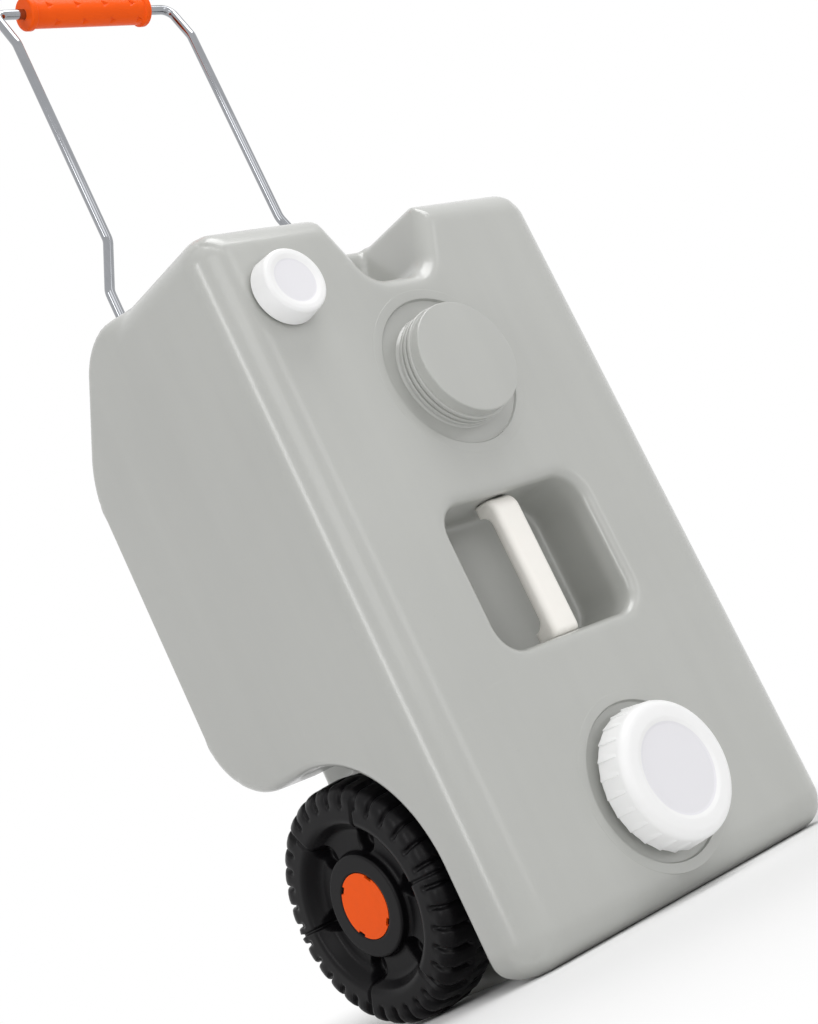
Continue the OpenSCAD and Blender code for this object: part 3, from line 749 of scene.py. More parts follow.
def rib_tree() -> bpy.types.NodeTree:
    """Build the tree that sets copies of one rib round a cap.

    Returns:
        A tree with inputs Count, Radius, Rib and Material.
    """
    tree, graph, size = new_tree(
        "cap_ribs",
        {
            "Count": "NodeSocketInt", "Radius": "NodeSocketFloat", "Rib": "NodeSocketObject",
            "Material": "NodeSocketMaterial",
        },
    )
    places = {"Vertices": size["Count"], "Radius": size["Radius"]}
    ring = graph.add("GeometryNodeMeshCircle", {"fill_type": "NONE"}, places)
    rib = graph.add("GeometryNodeObjectInfo", None, {"Object": size["Rib"]}, "Geometry")
    number = graph.add("GeometryNodeInputIndex")
    angle = number / size["Count"] * FULL_TURN
    euler = graph.add("ShaderNodeCombineXYZ", None, {"Z": angle})
    facing = graph.add("FunctionNodeEulerToRotation", None, {"Euler": euler})
    copies = graph.add("GeometryNodeInstanceOnPoints", None, {"Points": ring, "Instance": rib, "Rotation": facing})
    end_tree(graph, copies, size["Material"])
    return tree


def joined(name: str, meshes: list[bpy.types.Mesh]) -> bpy.types.Mesh:
    """Put several meshes into one.

    Args:
        name: The new mesh's name.
        meshes: Meshes in the carrier's frame; they are removed.

    Returns:
        The joined mesh.
    """
    whole = bpy.data.meshes.new(name)
    with edited(whole) as shape:
        for part in meshes:
            shape.from_mesh(part)
            bpy.data.meshes.remove(part)
    return whole


@dataclass
class Neck:
    """A threaded neck on the tank's front: a collar, its thread, and the crisp seat round it."""

    name: str
    x: float
    z: float
    radius: float
    proud: float
    bore: float
    crest: float
    pitch: float
    plain: float
    seat_r: float = 56.5
    seat: float = 2.5
    flare: float = 2.0
    flange: float = 8.0
    flush: float = 0.03

    def line(self) -> list[Corner]:
        """Draw the neck's section from its seat over the collar to the middle.

        Returns:
            Radius, height over the front face and rounding of each corner.
        """
        foot, rim, lip = -self.seat, self.seat_r + self.flange, min(0.7, 0.4 * self.seat)
        start = [(rim, foot - 1.0, 0.0), (rim, 0.02, 0.0), (rim - 0.2, self.flush, 0.0), (rim - 0.6, self.flush, 0.0)]
        start += [(self.seat_r + lip, self.flush, lip), (self.seat_r, foot, lip)]
        return [
            *start, (self.radius + self.flare, foot, 0.6), (self.radius, foot + self.flare, 1.2),
            (self.radius, self.proud, 1.1), (self.bore, self.proud, 0.8 if self.bore else 0.0),
            (self.bore, foot - 1.0, 0.0),
        ]

    def build(self, tree: bpy.types.NodeTree, material: bpy.types.Material) -> bpy.types.Object:
        """Turn the collar and grow its thread.

        Args:
            tree: The thread's tree.
            material: The tank's finish.

        Returns:
            The neck as one piece.
        """
        points, faces = turned(rounded(self.line(), True), LATHE_STEPS, True)
        collar = mesh_of(self.name, on_front(points, self.x, self.z), faces)
        depth = self.crest - self.radius + 1.0
        rise = self.proud - self.plain + self.seat - 0.6 * self.pitch
        thread = grown(
            self.name + "_thread",
            tree,
            {
                "Radius": (self.crest - depth / 2) * MM, "Start": (0.45 * self.pitch - self.seat) * MM,
                "Rise": rise * MM, "Turns": rise / self.pitch, "Foot": 0.84 * self.pitch * MM,
                "Crest": 0.6 * self.pitch * MM, "Depth": depth * MM, "Material": material,
            },
        )
        thread.transform(front_matrix(self.x, self.z))
        return piece_of(self.name, joined(self.name, [collar, thread]), material)


def soft_most(first: np.ndarray, second: np.ndarray, radius: np.ndarray | float) -> np.ndarray:
    """Join the distances to two faces at right angles with a rounding between them."""
    a, b = first + radius, second + radius
    return np.minimum(np.maximum(a, b), 0.0) + np.hypot(np.maximum(a, 0.0), np.maximum(b, 0.0)) - radius


@dataclass(frozen=True)
class BlockForm:
    """The block that the tank is moulded as: distances in millimetres to its rounded faces."""

    edge: float
    back: float
    run: float
    drop: float
    top_r: float
    low_r: float
    rolled: bool
    heel: float = 25.0
    floor: float = 0.0
    lip: float = 8.0
    change: tuple[float, float] = (-45.0, -15.0)
    width: float = 325.0
    depth: float = 233.0
    height: float = 532.0

    def corner(self, y: np.ndarray, z: np.ndarray, first: Place, second: Place, radius: float) -> np.ndarray:
        """Measure to two faces of the side outline and the arc between them.

        Args:
            y: Depth behind the front face.
            z: Height.
            first: Normal and place of one face.
            second: Normal and place of the next face, against the clock.
            radius: The rounding between them.

        Returns:
            The distance of each point, positive outside.
        """
        normals = np.array((first[:2], second[:2]))
        middle = np.linalg.solve(normals, np.array((first[2], second[2])) - radius)
        u, v = y - middle[0], z - middle[1]
        arc = (first[0] * v - first[1] * u >= 0.0) & (u * second[1] - v * second[0] >= 0.0)
        flat = np.maximum(first[0] * y + first[1] * z - first[2], second[0] * y + second[1] * z - second[2])
        return np.where(arc, np.hypot(u, v) - radius, flat)

    def distance(self, points: np.ndarray) -> np.ndarray:
        """Measure to the block's surface.

        Args:
            points: Places in millimetres.

        Returns:
            The distance of each point, positive outside.
        """
        across, y, z = np.abs(points[:, 0]) - self.width / 2, points[:, 1] - FRONT_Y, points[:, 2]
        slope = math.hypot(self.run, self.drop)
        lean = (self.drop / slope, self.run / slope)
        reach = lean[0] * (self.depth - self.run) + lean[1] * self.height
        faces = [(0.0, -1.0, -self.floor), (1.0, 0.0, self.depth), (*lean, reach)]
        faces += [(0.0, 1.0, self.height), (-1.0, 0.0, 0.0)]
        radii = [self.heel, self.low_r, self.top_r, self.edge, self.edge]
        pairs = zip(faces, [*faces[1:], faces[0]], radii)
        corners = [self.corner(y, z, first, second, radius) for first, second, radius in pairs]
        side = np.max(corners, axis=0)
        low_r = self.lip if self.floor else self.edge
        if self.rolled:
            behind = np.maximum(y - self.depth, lean[0] * y + lean[1] * z - reach)
            behind = np.maximum(behind, self.floor - z) if self.floor else behind
            return soft_most(across, side, self.edge + (self.back - self.edge) * smooth_step(*self.change, behind))
        ends = [(-y, self.edge), (y - self.depth, self.back), (z - self.height, self.edge), (corners[0], low_r)]
        return np.max([side, *(soft_most(across, end, radius) for end, radius in ends)], axis=0)


@dataclass
class TankSkin:
    """The blow-moulded tank: the solid's outer skin with its edges softened, and three necks."""

    voxel: float = 2.0
    softening: int = 3
    face_budget: int = 170000
    plugs: list[tuple[Place, str, float, float]] = field(
        default_factory=lambda: [
            ((DRAIN[0], -110.0, DRAIN[1]), "Y", 37.4, 40.0),
            ((VENT[0], -106.0, VENT[1]), "Y", 12.4, 26.0),
            ((0.0, *AXLE), "X", 6.6, 194.0),
            *(((x, FRONT_Y + 6.0, z), "Y", 63.0, 12.0) for x, z in (DRAIN, SPARE)),
        ]
    )
    solid: BlockForm = BlockForm(edge=25.0, back=24.0, run=55.0, drop=92.0, top_r=55.0, low_r=60.0, rolled=False)
    seen: BlockForm = BlockForm(edge=25.0, back=8.0, run=72.0, drop=88.0, top_r=60.0, low_r=80.0, rolled=True)
    recess: tuple[Place, Place] = ((132.0, 100.0, 248.0), (137.0, 108.0, 246.0))
    well_top: float = 182.5
    heels: tuple[float, float] = (30.0, 60.0)
    lobe: Place = (97.0, AXLE[0], 162.5)
    fade: tuple[float, float] = (-30.0, -3.0)
    recess_fade: tuple[float, float] = (10.0, 32.0)
    recess_deep: float = 80.0
    seat_deep: float = 12.0
    blocks: list[tuple[Place, Place]] = field(
        default_factory=lambda: [((at, 96.0, 172.0), (20.0, 64.0, 5.0)) for at in (-85.0, 85.0)]
    )
    seats: list[tuple[float, float, float]] = field(
        default_factory=lambda: [(*DRAIN, 62.0), (*SPARE, 62.0), (*VENT, 17.2)]
    )

    def plugged_copy(self) -> bpy.types.Mesh:
        """Copy the tank's solid, merge it, and stop its openings.

        Returns:
            A mesh whose inside is shut off from its outside.
        """
        shape = bmesh.new()
        shape.from_mesh(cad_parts["tank_shell"].data)
        bmesh.ops.remove_doubles(shape, verts=shape.verts, dist=10.0 * MERGE)
        for place, axis, radius, length in self.plugs:
            turn = Matrix.Rotation(math.pi / 2, 4, "X" if axis == "Y" else "Y")
            bmesh.ops.create_cone(
                shape, cap_ends=True, segments=64, radius1=radius * MM, radius2=radius * MM, depth=length * MM,
                matrix=Matrix.Translation(Vector(place) * MM) @ turn,
            )
        for place, size in self.blocks:
            scale = Matrix.Diagonal((*(Vector(size) * MM), 1.0))
            bmesh.ops.create_cube(shape, size=1.0, matrix=Matrix.Translation(Vector(place) * MM) @ scale)
        mesh = bpy.data.meshes.new("tank_plugged")
        shape.to_mesh(mesh)
        shape.free()
        return mesh

    def evaluated(self, mesh: bpy.types.Mesh, kind: str, settings: dict[str, Any]) -> bpy.types.Mesh:
        """Put a mesh through one modifier.

        Args:
            mesh: The mesh.
            kind: The modifier's type.
            settings: Its settings.

        Returns:
            The result as a plain mesh.
        """
        holder = linked("tank_work", mesh)
        modifier = holder.modifiers.new("work", kind)
        for key, value in settings.items():
            setattr(modifier, key, value)
        result = frozen(holder)
        bpy.data.meshes.remove(mesh)
        return result

    def outer_points(self, edges: np.ndarray, points: np.ndarray) -> np.ndarray:
        """Find the points of the outer skin.

        Args:
            edges: Point numbers of each edge.
            points: The points.

        Returns:
            True for each point that hangs together with the lowest one.
        """
        label = np.arange(len(points))
        while True:
            low = np.minimum(label[edges[:, 0]], label[edges[:, 1]])
            fresh = label.copy()
            np.minimum.at(fresh, edges[:, 0], low)
            np.minimum.at(fresh, edges[:, 1], low)
            fresh = fresh[fresh]
            if np.array_equal(fresh, label):
                break
            label = fresh
        return label == label[int(np.argmin(points[:, 2]))]

    def pressed(self, points: np.ndarray, solid: BlockForm, seen: BlockForm) -> np.ndarray:
        """Move points from one block to another, each as deep under the new surface as under the old.

        Args:
            points: Places in millimetres.
            solid: The block they lie on.
            seen: The block they go to.

        Returns:
            The moved points; those far inside stay.
        """
        deep = solid.distance(points)
        weight = smooth_step(*self.fade, deep)
        steps = 0.2 * np.eye(3)
        for _ in range(2):
            slant = np.stack([seen.distance(points + step) - seen.distance(points - step) for step in steps], axis=1)
            slant /= np.maximum(np.linalg.norm(slant, axis=1), 1e-6)[:, None]
            points = points - (weight * (seen.distance(points) - deep))[:, None] * slant
        return points

    def moulded(self, points: np.ndarray) -> np.ndarray:
        """Move the skin from the solid's block to the softer one that the photograph shows.

        Args:
            points: The skin's points in millimetres.

        Returns:
            The moved points: shoulder, corners, heels behind the wheels, and recess.
        """
        lobe = (np.abs(points[:, 0]) > self.lobe[0]) & (points[:, 1] > self.lobe[1]) & (points[:, 2] > self.lobe[2])
        points[~lobe] = self.pressed(points[~lobe], self.solid, self.seen)
        solid, seen = (
            replace(form, heel=heel, floor=self.well_top) for form, heel in zip((self.solid, self.seen), self.heels)
        )
        points[lobe] = self.pressed(points[lobe], solid, seen)
        (wide, high, at), (new_wide, new_high, new_at) = self.recess
        outside = np.maximum(np.abs(points[:, 0]) - wide / 2, np.abs(points[:, 2] - at) - high / 2)
        share = (1.0 - smooth_step(*self.recess_fade, outside)) * (points[:, 1] < FRONT_Y + self.recess_deep)
        points[:, 0] *= 1.0 + share * (new_wide / wide - 1.0)
        points[:, 2] += share * (new_at + (points[:, 2] - at) * new_high / high - points[:, 2])
        return points

    def skin(self) -> bpy.types.Mesh:
        """Remesh the plugged copy, keep its outer skin, soften it and clear the places of the necks.

        Returns:
            The tank's skin.
        """
        mesh = self.evaluated(
            self.plugged_copy(), "REMESH", {"mode": "VOXEL", "voxel_size": self.voxel * MM, "adaptivity": 0.0}
        )
        count = len(mesh.vertices)
        points = np.empty(count * 3)
        mesh.vertices.foreach_get("co", points)
        points = points.reshape(-1, 3)
        edges = np.empty(len(mesh.edges) * 2, dtype=np.int64)
        mesh.edges.foreach_get("vertices", edges)
        edges = edges.reshape(-1, 2)
        keep = self.outer_points(edges, points)
        degree = np.bincount(edges.ravel(), minlength=count)[:, None]
        for _ in range(self.softening):
            total = np.stack(
                [
                    np.bincount(edges[:, 0], points[edges[:, 1], k], count)
                    + np.bincount(edges[:, 1], points[edges[:, 0], k], count)
                    for k in range(3)
                ],
                axis=1,
            )
            points += 0.5 * (total / np.maximum(degree, 1) - points)
        points = self.moulded(points / MM) * MM
        low, high = (np.array(corner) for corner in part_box("tank_shell"))
        points = np.clip(points, low, high)
        for x, z, reach in self.seats:
            away = np.hypot(points[:, 0] / MM - x, points[:, 2] / MM - z)
            keep &= (away > reach) | (points[:, 1] > (FRONT_Y + self.seat_deep) * MM)
        mesh.vertices.foreach_set("co", points.ravel())
        with edited(mesh) as shape:
            bmesh.ops.delete(shape, geom=[v for v, kept in zip(shape.verts, keep) if not kept], context="VERTS")
        mesh.update()
        triangles = 2 * len(mesh.polygons)
        return self.evaluated(mesh, "DECIMATE", {"ratio": min(1.0, self.face_budget / triangles)})

    def build(self, finishes: Finishes) -> None:
        """Build the skin and the necks and fix them to the tank.

        Args:
            finishes: The finishes.
        """
        skin = piece_of("tank_skin", self.skin(), finishes.tank)
        settle(skin, "tank", "tank", "tank_shell")
        tree = thread_tree()
        necks = [
            Neck("spare_neck", *SPARE, radius=42.6, proud=21.5, bore=0.0, crest=44.2, pitch=4.6, plain=8.0),
            Neck("drain_neck", *DRAIN, radius=41.5, proud=21.5, bore=37.5, crest=44.0, pitch=6.0, plain=2.0),
            Neck(
                "vent_neck", *VENT, radius=16.0, proud=13.5, bore=12.0, crest=18.2, pitch=6.0, plain=1.5,
                seat_r=17.6, seat=0.3, flare=1.5,
            ),
        ]
        for neck in necks:
            settle(neck.build(tree, finishes.tank), "tank", "tank")


@dataclass
class ScrewCap:
    """A moulded screw cap: a turned shell with a sunk disc, and ribs where it has them."""

    name: str
    node: str
    x: float
    z: float
    low: float
    high: float
    base_r: float
    rim_r: float
    bore_r: float
    disc_r: float
    sink: float
    edge: float
    ribs: int = 0
    rib_width: float = 10.0
    rib_length: float = 15.0
    rib_thick: float = 2.6
    rib_soft: float = 0.6
    rib_lean: float = 3.0
    rib_twist: float = 8.0
    rib_foot: float = 0.3
    rib_sunk: float = 1.5
    plate: float = 2.4

    def shell(self) -> bpy.types.Mesh:
        """Turn the cap's shell.

        Returns:
            The shell's mesh.
        """
        top, disc, under = self.high, self.high - self.sink, self.high - self.sink - self.plate
        corners = [
            (0.0, disc, 0.0), (self.disc_r, disc, 2.4),
            (self.disc_r + 3.2 * self.sink, top, 5.0), (self.rim_r, top, self.edge),
            (self.base_r, self.low, 0.7), (self.bore_r, self.low, 0.6),
            (self.bore_r, under, 2.0), (0.0, under, 0.0),
        ]
        points, faces = turned(rounded(corners, False, 9), LATHE_STEPS, False)
        return mesh_of(self.name, on_front(points, self.x, self.z), faces)

    def rib_shape(self) -> bpy.types.Object:
        """Make one rib: a slab with soft edges, leaning so that one long edge stands out.

        Returns:
            The rib at the origin.
        """
        size = Matrix.Diagonal((self.rib_thick * MM, self.rib_width * MM, self.rib_length * MM, 1.0))
        taper = math.atan((self.base_r - self.rim_r) / (self.high - self.low))
        lean = Matrix.Rotation(-taper - math.radians(self.rib_lean), 4, "Y")
        turn = lean @ Matrix.Rotation(math.radians(-self.rib_twist), 4, "Z")
        soft = self.rib_soft * MM
        mesh = bpy.data.meshes.new("rib")
        with edited(mesh) as shape:
            bmesh.ops.create_cube(shape, size=1.0, matrix=size)
            bmesh.ops.bevel(shape, geom=list(shape.edges), offset=soft, segments=2, profile=0.5, affect="EDGES")
            bmesh.ops.transform(shape, matrix=turn, verts=shape.verts)
        mesh.polygons.foreach_set("use_smooth", [True] * len(mesh.polygons))
        return linked("rib", mesh)

    def build(self, material: bpy.types.Material) -> None:
        """Build the cap and fix it to its body.

        Args:
            material: The cap's finish.
        """
        meshes = [self.shell()]
        if self.ribs:
            rib = self.rib_shape()
            middle = self.low + 0.5 * self.rib_length + self.rib_foot
            share = (middle - self.low) / (self.high - self.low)
            radius = self.base_r + (self.rim_r - self.base_r) * share
            ring = grown(
                self.name + "_ribs",
                rib_tree(),
                {"Count": self.ribs, "Radius": (radius - self.rib_sunk) * MM, "Rib": rib, "Material": material},
            )
            ring.transform(front_matrix(self.x, self.z) @ Matrix.Translation((0.0, 0.0, middle * MM)))
            bpy.data.objects.remove(rib)
            meshes.append(ring)
        cap = piece_of(self.name, joined(self.name, meshes), material)
        settle(cap, self.node, "cap", self.node)


@dataclass
class CarryBar:
    """The carrying bar across the recess: a soft-edged bar with a foot at each end."""

    width: float = 25.0
    front: float = -95.0
    thick: float = 13.0
    foot: float = 22.0
    foot_high: float = 9.0
    finger_r: float = 9.0
    low: float = 192.4
    high: float = 299.6
    edge: float = 5.0
    low_nose: float = 5.0
    high_nose: float = 11.0
    nose_share: float = 0.85
    end_r: float = 2.0
    levels: int = 121

    def build(self, finishes: Finishes) -> None:
        """Loft the bar and fix it to the tank.

        Args:
            finishes: The finishes.
        """
        share = np.sin(np.linspace(-0.5 * math.pi, 0.5 * math.pi, self.levels))
        levels = 0.5 * (self.low + self.high) + 0.5 * (self.high - self.low) * share
        to_end = np.minimum(levels - self.low, self.high - levels)
        hollow = np.clip(to_end - self.foot_high, 0.0, self.finger_r)
        curve = self.finger_r - np.sqrt(np.maximum(self.finger_r**2 - (self.finger_r - hollow) ** 2, 0.0))
        back = self.thick + (self.foot - self.thick) * np.where(to_end < self.foot_high, 1.0, curve / self.finger_r)
        nose = np.zeros(len(levels))
        for radius, gone in ((self.low_nose, levels - self.low), (self.high_nose, self.high - levels)):
            short = np.clip(radius - gone, 0.0, radius)
            nose = np.maximum(nose, self.nose_share * (radius - np.sqrt(radius**2 - short**2)))
        narrow = np.clip(self.end_r - to_end, 0.0, self.end_r)
        half = self.width / 2 - (self.end_r - np.sqrt(self.end_r**2 - narrow**2))
        rows = []
        for z, wide, near, deep in zip(levels, half, nose, back):
            corners = ((-wide, near), (wide, near), (wide, deep), (-wide, deep))
            ring = rounded([(*corner, self.edge) for corner in corners], True, 8)
            rows.append(np.stack((ring[:, 0], ring[:, 1] + self.front, np.full(len(ring), z)), axis=1))
        faces = capped_faces(len(rows), len(rows[0]))
        bar = piece_of("carrying_bar", mesh_of("carrying_bar", np.concatenate(rows), faces), finishes.bar)
        settle(bar, "tank", "bar", "carry_bar")


@dataclass
class Wheel:
    """One moulded wheel: lathe rows pressed in by pockets, radial grooves and shoulder grooves."""

    side: Side
    middle: float = 137.0
    radius: float = 85.0
    width: float = 48.0
    hub_r: float = 36.0
    hub_top: float = 20.0
    seat_r: float = 23.2
    seat: float = 18.0
    bore: float = 7.0
    dish_floor: float = 13.0
    dish_r: float = 52.0
    pockets: int = 6
    pocket_r: float = 46.5
    cup_deep: float = 8.0
    cup_edge: tuple[float, float] = (5.4, 8.6)
    seam_deep: float = 2.4
    seam_edge: tuple[float, float] = (0.7, 1.5)
    seam_from: tuple[float, float] = (51.0, 55.0)
    grooves: int = 34
    groove_deep: float = 3.6
    groove_edge: tuple[float, float] = (1.0, 1.9)
    groove_flank: tuple[float, float] = (1.2, 5.6)
    groove_from: tuple[float, float] = (68.0, 73.0)
    groove_end: tuple[float, float] = (1.5, 5.0)
    steps: int = 612

    def profile(self) -> np.ndarray:
        """Draw the wheel's outer line from the seat of the hub cap round to the bore.

        Returns:
            Radius and axial place of each point.
        """
        half, top = self.width / 2, self.hub_top
        face = [
            (self.bore, self.seat, 0.0), (self.seat_r, self.seat, 0.5), (self.seat_r, top, 0.5),
            (self.hub_r, top, 1.4), (self.hub_r + 0.6, self.dish_floor, 2.6), (self.dish_r, self.dish_floor, 5.0),
            (self.dish_r + 7.0, half, 6.0), (self.radius - 2.2, half, 10.0), (self.radius, 0.0, 24.0),
        ]
        back = [
            (self.radius - 2.2, -half, 10.0), (self.dish_r + 7.0, -half, 6.0), (self.dish_r, -self.dish_floor, 5.0),
            (self.hub_r + 0.6, -self.dish_floor, 2.6), (self.hub_r, -top, 1.4), (self.bore, -top, 0.0),
            (self.bore, self.seat, 0.0),
        ]
        line = rounded([*face, *back], False, 10)
        split = int(np.argmax(line[:, 0] - 0.001 * np.abs(line[:, 1])))
        return np.concatenate((resampled(line[: split + 1], 1.1), resampled(line[split:], 4.0)[1:]))

    def build(self, finishes: Finishes) -> None:
        """Press the pockets and grooves into the lathe rows and fix the wheel to its body.

        Args:
            finishes: The finishes.
        """
        line = self.profile()[:-1]
        ahead = np.roll(line, -1, axis=0) - np.roll(line, 1, axis=0)
        normal = np.stack((ahead[:, 1], -ahead[:, 0]), axis=1)
        normal /= np.maximum(np.linalg.norm(normal, axis=1), 1e-9)[:, None]
        middle = line.mean(axis=0)
        if ((line - middle) * normal).sum() < 0:
            normal = -normal
        angle = np.linspace(0.0, FULL_TURN, self.steps, endpoint=False)[None, :]
        r, w = line[:, 0][:, None], line[:, 1][:, None]
        sink = np.zeros((len(line), self.steps))
        for face, shift in ((1.0, 0.0), (-1.0, 0.5)):
            turns = angle * self.grooves / FULL_TURN + shift
            away = np.abs(turns - np.floor(turns) - 0.5) * FULL_TURN * r / self.grooves
            slit = 1.0 - 0.85 * smooth_step(*self.groove_edge, away) - 0.15 * smooth_step(*self.groove_flank, away)
            reach = smooth_step(*self.groove_from, r) * smooth_step(*self.groove_end, face * w)
            sink = np.maximum(sink, self.groove_deep * slit * reach)
        turns = angle * self.pockets / FULL_TURN + 0.5
        along = (turns - np.floor(turns) - 0.5) * FULL_TURN * r / self.pockets
        seam = (1.0 - smooth_step(*self.seam_edge, np.abs(along))) * smooth_step(*self.seam_from, r)
        sink = np.maximum(sink, self.seam_deep * seam * (np.abs(w) > 6.0))
        cup = np.hypot(along, (r - self.pocket_r) * 0.85)
        press = self.cup_deep * (1.0 - smooth_step(*self.cup_edge, cup)) * (np.abs(w) > 9.0)
        radius = r - sink * normal[:, 0][:, None]
        across = w - sink * normal[:, 1][:, None] - press * np.sign(w)
        points = about_x(self.side.value * (self.middle + across), radius, angle, *AXLE)
        name = self.side.name.lower() + "_wheel"
        faces = grid_faces(len(line), self.steps, True, True)
        wheel = piece_of(name + "_tread", mesh_of(name, points, faces), finishes.wheel)
        settle(wheel, name, "wheel", name)


@dataclass
class PullHandle:
    """The pull handle: one bent chromed rod, and the grip sleeve that rolls on it."""

    rod_r: float = 4.0
    rod_steps: int = 28
    low_x: float = 105.0
    y: float = 80.0
    foot_z: float = 255.5
    joggle_z: float = 576.0
    joggle_angle: float = 24.0
    joggle_rise: float = 40.76
    crank_z: float = 799.34
    crank_angle: float = 18.0
    crank_l: float = 25.0
    bend_r: float = 14.0
    corner_r: float = 9.0
    grip_l: float = 118.0
    grip_r: float = 11.75
    grip_y: float = 91.19
    grip_z: float = 836.0
    grip_gap: float = 0.06
    grip_steps: int = 120
    flange_r: float = 13.5
    flange_w: float = 6.0
    dent: float = 1.3
    dent_rows: int = 5
    dent_columns: int = 4
    dent_pitch: float = 27.0
    dent_size: float = 3.0

    def half_path(self) -> np.ndarray:
        """Walk the right half of the rod from its foot to the middle of the grip.

        Returns:
            Points along the rod's middle line.
        """
        place = np.array((self.low_x, self.y, self.foot_z))
        heading = np.array((0.0, 0.0, 1.0))
        points = [place]

        def bend(angle: float, radius: float, toward: np.ndarray) -> None:
            """Turn the heading toward a direction along an arc.

            Args:
                angle: The bend in degrees.
                radius: The radius of the arc.
                toward: The direction.
            """
            nonlocal place, heading
            side = toward - heading * float(toward @ heading)
            side /= np.linalg.norm(side)
            start, first = place, heading
            steps = max(4, int(angle / 5.0))
            for k in range(1, steps + 1):
                t = math.radians(angle) * k / steps
                points.append(start + radius * (math.sin(t) * first + (1.0 - math.cos(t)) * side))
            t = math.radians(angle)
            place, heading = points[-1], math.cos(t) * first + math.sin(t) * side

        def straight(length: float) -> None:
            """Go on along the heading.

            Args:
                length: How far.
            """
            nonlocal place
            place = place + heading * length
            points.append(place)

        inward, backward = np.array((-1.0, 0.0, 0.0)), np.array((0.0, 1.0, 0.0))
        straight(self.joggle_z - self.foot_z)
        bend(self.joggle_angle, self.bend_r, inward)
        straight(self.joggle_rise)
        bend(self.joggle_angle, self.bend_r, -inward)
        straight(self.crank_z - place[2])
        bend(self.crank_angle, self.bend_r, backward)
        straight(self.crank_l)
        bend(90.0, self.corner_r, inward)
        straight(place[0])
        return np.array(points)

    def rod(self, finishes: Finishes) -> None:
        """Sweep the rod along its path and fix it to the handle.

        Args:
            finishes: The finishes.
        """
        half = self.half_path()
        path = np.concatenate((half * np.array((-1.0, 1.0, 1.0)), half[-2::-1]))
        ahead = np.gradient(path, axis=0)
        ahead /= np.linalg.norm(ahead, axis=1)[:, None]
        side = np.array((0.0, 1.0, 0.0))
        angle = np.linspace(0.0, FULL_TURN, self.rod_steps, endpoint=False)
        rings = []
        for place, way in zip(path, ahead):
            side = side - way * float(side @ way)
            side /= np.linalg.norm(side)
            across = np.cross(way, side)
            rings.append(place + self.rod_r * (np.cos(angle)[:, None] * side + np.sin(angle)[:, None] * across))
        faces = capped_faces(len(rings), len(angle))
        rod = piece_of("handle_rod", mesh_of("handle_rod", np.concatenate(rings), faces), finishes.chrome)
        settle(rod, "pull_handle", "chromed_rod", "pull_handle_rod")

    def grip(self, finishes: Finishes) -> None:
        """Turn the grip sleeve, press its three-sided dents and fix it to its body.

        Args:
            finishes: The finishes.
        """
        half, bore, steps = self.grip_l / 2, self.rod_r + self.grip_gap, self.grip_steps
        corners = [
            (-half, bore, 0.0), (-half, self.flange_r, 1.8), (-half + self.flange_w, self.flange_r, 1.6),
            (-half + self.flange_w, self.grip_r, 0.9), (half - self.flange_w, self.grip_r, 0.9),
            (half - self.flange_w, self.flange_r, 1.6), (half, self.flange_r, 1.8), (half, bore, 0.0),
        ]
        line = resampled(rounded(corners, False, 6), 0.7)
        angle = np.linspace(0.0, FULL_TURN, steps, endpoint=False)[None, :]
        x, r = line[:, 0][:, None], line[:, 1][:, None]
        press = np.zeros((len(line), steps))
        rows, columns, pitch = self.dent_rows, self.dent_columns, self.dent_pitch
        for row in range(rows):
            for column in range(columns):
                at = (column - (columns - 1) / 2) * pitch + (0.0 if row % 2 == 0 else pitch / 4)
                turn = angle - (row + 0.5) * FULL_TURN / rows
                u = (turn - FULL_TURN * np.round(turn / FULL_TURN)) * self.grip_r
                v = x - at
                slant = np.maximum(0.5 * v + 0.866 * u, 0.5 * v - 0.866 * u)
                edge = np.maximum(-v, slant) - 0.5 * self.dent_size
                press = np.maximum(press, self.dent * (1.0 - smooth_step(-0.3, 0.5, edge)))
        radius = r - press * (np.abs(r - self.grip_r) < 0.05)
        points = about_x(x, radius, angle, self.grip_y, self.grip_z)
        faces = grid_faces(len(line), steps, True, True)
        grip = piece_of("grip_dented", mesh_of("grip_dented", points, faces), finishes.orange)
        settle(grip, "grip", "orange", "grip_sleeve")

    def build(self, finishes: Finishes) -> None:
        """Build the rod and the grip.

        Args:
            finishes: The finishes.
        """
        self.rod(finishes)
        self.grip(finishes)


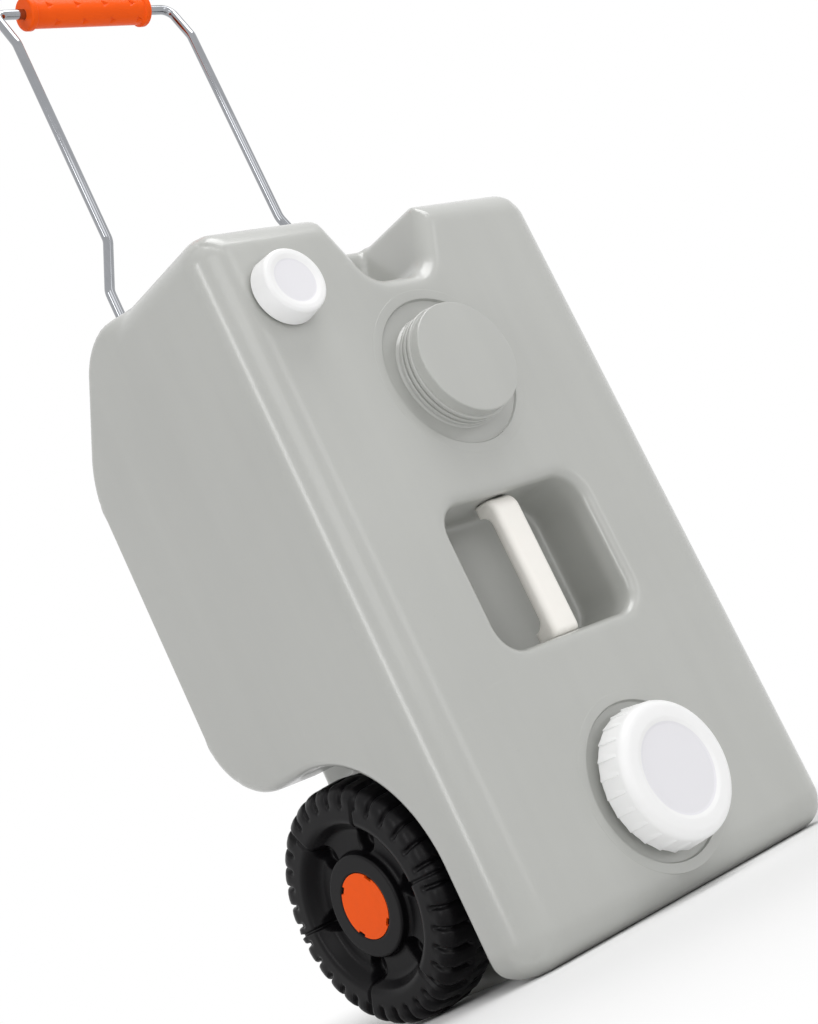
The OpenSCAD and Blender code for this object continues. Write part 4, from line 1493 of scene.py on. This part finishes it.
@dataclass
class Studio:
    """A pale floor that fades to white, soft lamps, and the camera of the photograph."""

    focus: float = 1844.07
    image_high: float = 1024.0
    sensor: float = 24.0
    position: Place = (-0.9061, -0.9820, 0.0821)
    right: Place = (0.715, -0.553, -0.427)
    forward: Place = (0.667, 0.723, 0.182)
    world_light: float = 0.46
    target: Place = (0.0, 0.0, 0.3)
    floor_reach: float = 30.0
    floor_fade: tuple[float, float] = (0.22, 0.75)

    def floor(self) -> None:
        """Lay the floor: it takes the shadow near the carrier and fades to white."""
        mesh = bpy.data.meshes.new("floor")
        reach = self.floor_reach
        corners = [(-reach, -reach, 0.0), (reach, -reach, 0.0), (reach, reach, 0.0), (-reach, reach, 0.0)]
        mesh.from_pydata(corners, [], [(0, 1, 2, 3)])
        material, graph = fresh_material("floor_paper")
        place = graph.add("ShaderNodeTexCoord", output="Object")
        length = graph.add("ShaderNodeVectorMath", {"operation": "LENGTH"}, {0: place}, "Value")
        fibre = graph.noise(240.0, 3.0)
        paper = graph.blend(fibre, (0.90, 0.90, 0.90, 1.0), (0.93, 0.93, 0.93, 1.0))
        matt = graph.add("ShaderNodeBsdfDiffuse", None, {"Color": paper})
        white = graph.add("ShaderNodeEmission", None, {"Color": (1.0, 1.0, 1.0, 1.0), "Strength": 1.0})
        share = length.between(*self.floor_fade) * graph.seen()
        mixed = graph.add("ShaderNodeMixShader", None, {0: share, 1: matt, 2: white})
        graph.add("ShaderNodeOutputMaterial", None, {"Surface": mixed})
        mesh.materials.append(material)
        floor = linked("floor", mesh)

    def world(self) -> None:
        """Light from all round, and white where the camera or a reflection looks past the floor."""
        world = bpy.data.worlds.new("studio")
        world.use_nodes = True
        world.node_tree.nodes.clear()
        graph = Graph(world.node_tree)
        strength = graph.seen() * (1.0 - self.world_light) + self.world_light
        light = graph.add("ShaderNodeBackground", None, {"Color": (1.0, 1.0, 1.0, 1.0), "Strength": strength})
        graph.add("ShaderNodeOutputWorld", None, {"Surface": light})
        bpy.context.scene.world = world

    def lamp(self, name: str, place: Place, size: tuple[float, float], power: float) -> None:
        """Hang one soft lamp that looks at the carrier.

        Args:
            name: The lamp's name.
            place: Where it hangs, in metres.
            size: Its width and height.
            power: Its power in watts.
        """
        light = bpy.data.lights.new(name, "AREA")
        light.shape = "RECTANGLE"
        light.size, light.size_y = size
        light.energy = power
        lamp = linked(name, light)
        lamp.location = place
        lamp.rotation_euler = (Vector(self.target) - Vector(place)).to_track_quat("-Z", "Y").to_euler()

    def camera(self) -> None:
        """Set the camera that the photograph's edges and circles give."""
        data = bpy.data.cameras.new("camera")
        data.sensor_fit = "VERTICAL"
        data.sensor_height = self.sensor
        data.lens = self.focus / self.image_high * self.sensor
        data.clip_start, data.clip_end = 0.05, 100.0
        forward = Vector(self.forward).normalized()
        right = Vector(self.right)
        right = (right - forward * right.dot(forward)).normalized()
        up = right.cross(forward)
        camera = linked("camera", data)
        turn = Matrix((right, up, -forward)).transposed().to_4x4()
        camera.matrix_world = Matrix.Translation(Vector(self.position)) @ turn
        bpy.context.scene.camera = camera

    def build(self) -> None:
        """Set the floor, the lights, the camera and the plain view."""
        self.floor()
        self.world()
        self.lamp("left_strip", (-2.25, -0.48, 0.8), (0.34, 1.9), 11.0)
        self.lamp("front_strip", (1.1, -2.4, 0.9), (0.7, 1.9), 5.0)
        self.lamp("fill_softbox", (-1.25, -2.3, 1.2), (1.4, 1.5), 8.0)
        self.lamp("top_softbox", (0.5, -0.8, 2.5), (1.5, 1.5), 27.0)
        self.camera()
        bpy.context.scene.view_settings.view_transform = "Standard"


def main() -> None:
    """Build the carrier's pieces in order, dress the rest, and set the studio."""
    logging.basicConfig(level=logging.INFO, format="%(name)s: %(message)s")
    finishes = Finishes()
    Studio().build()
    TankSkin().build(finishes)
    drain = ScrewCap(
        "drain_cap_shell", "drain_cap", *DRAIN, low=3.0, high=27.0, base_r=50.2, rim_r=48.6, bore_r=44.3,
        disc_r=31.0, sink=1.4, edge=10.0, ribs=25, rib_width=12.6, rib_length=16.5,
    )
    drain.build(finishes.drain_cap)
    vent = ScrewCap(
        "vent_cap_shell", "vent_cap", *VENT, low=2.0, high=19.0, base_r=25.4, rim_r=24.2, bore_r=18.8,
        disc_r=15.6, sink=1.2, edge=6.0,
    )
    vent.build(finishes.vent_cap)
    CarryBar().build(finishes)
    for side in Side:
        Wheel(side).build(finishes)
    PullHandle().build(finishes)
    dress(finishes.orange, "left_hub_cap", "right_hub_cap")
    dress(finishes.steel, "axle", "left_push_nut", "right_push_nut", "guide_screws")
    dress(finishes.spacer, "left_wheel_spacer", "right_wheel_spacer")
    dress(finishes.seal, "drain_cap_seal", "vent_cap_seal")
    dress(
        finishes.black, "left_rod_stop", "right_rod_stop", "left_lower_guide", "right_lower_guide",
        "left_upper_guide", "right_upper_guide",
    )


if __name__ == "__main__":
    main()
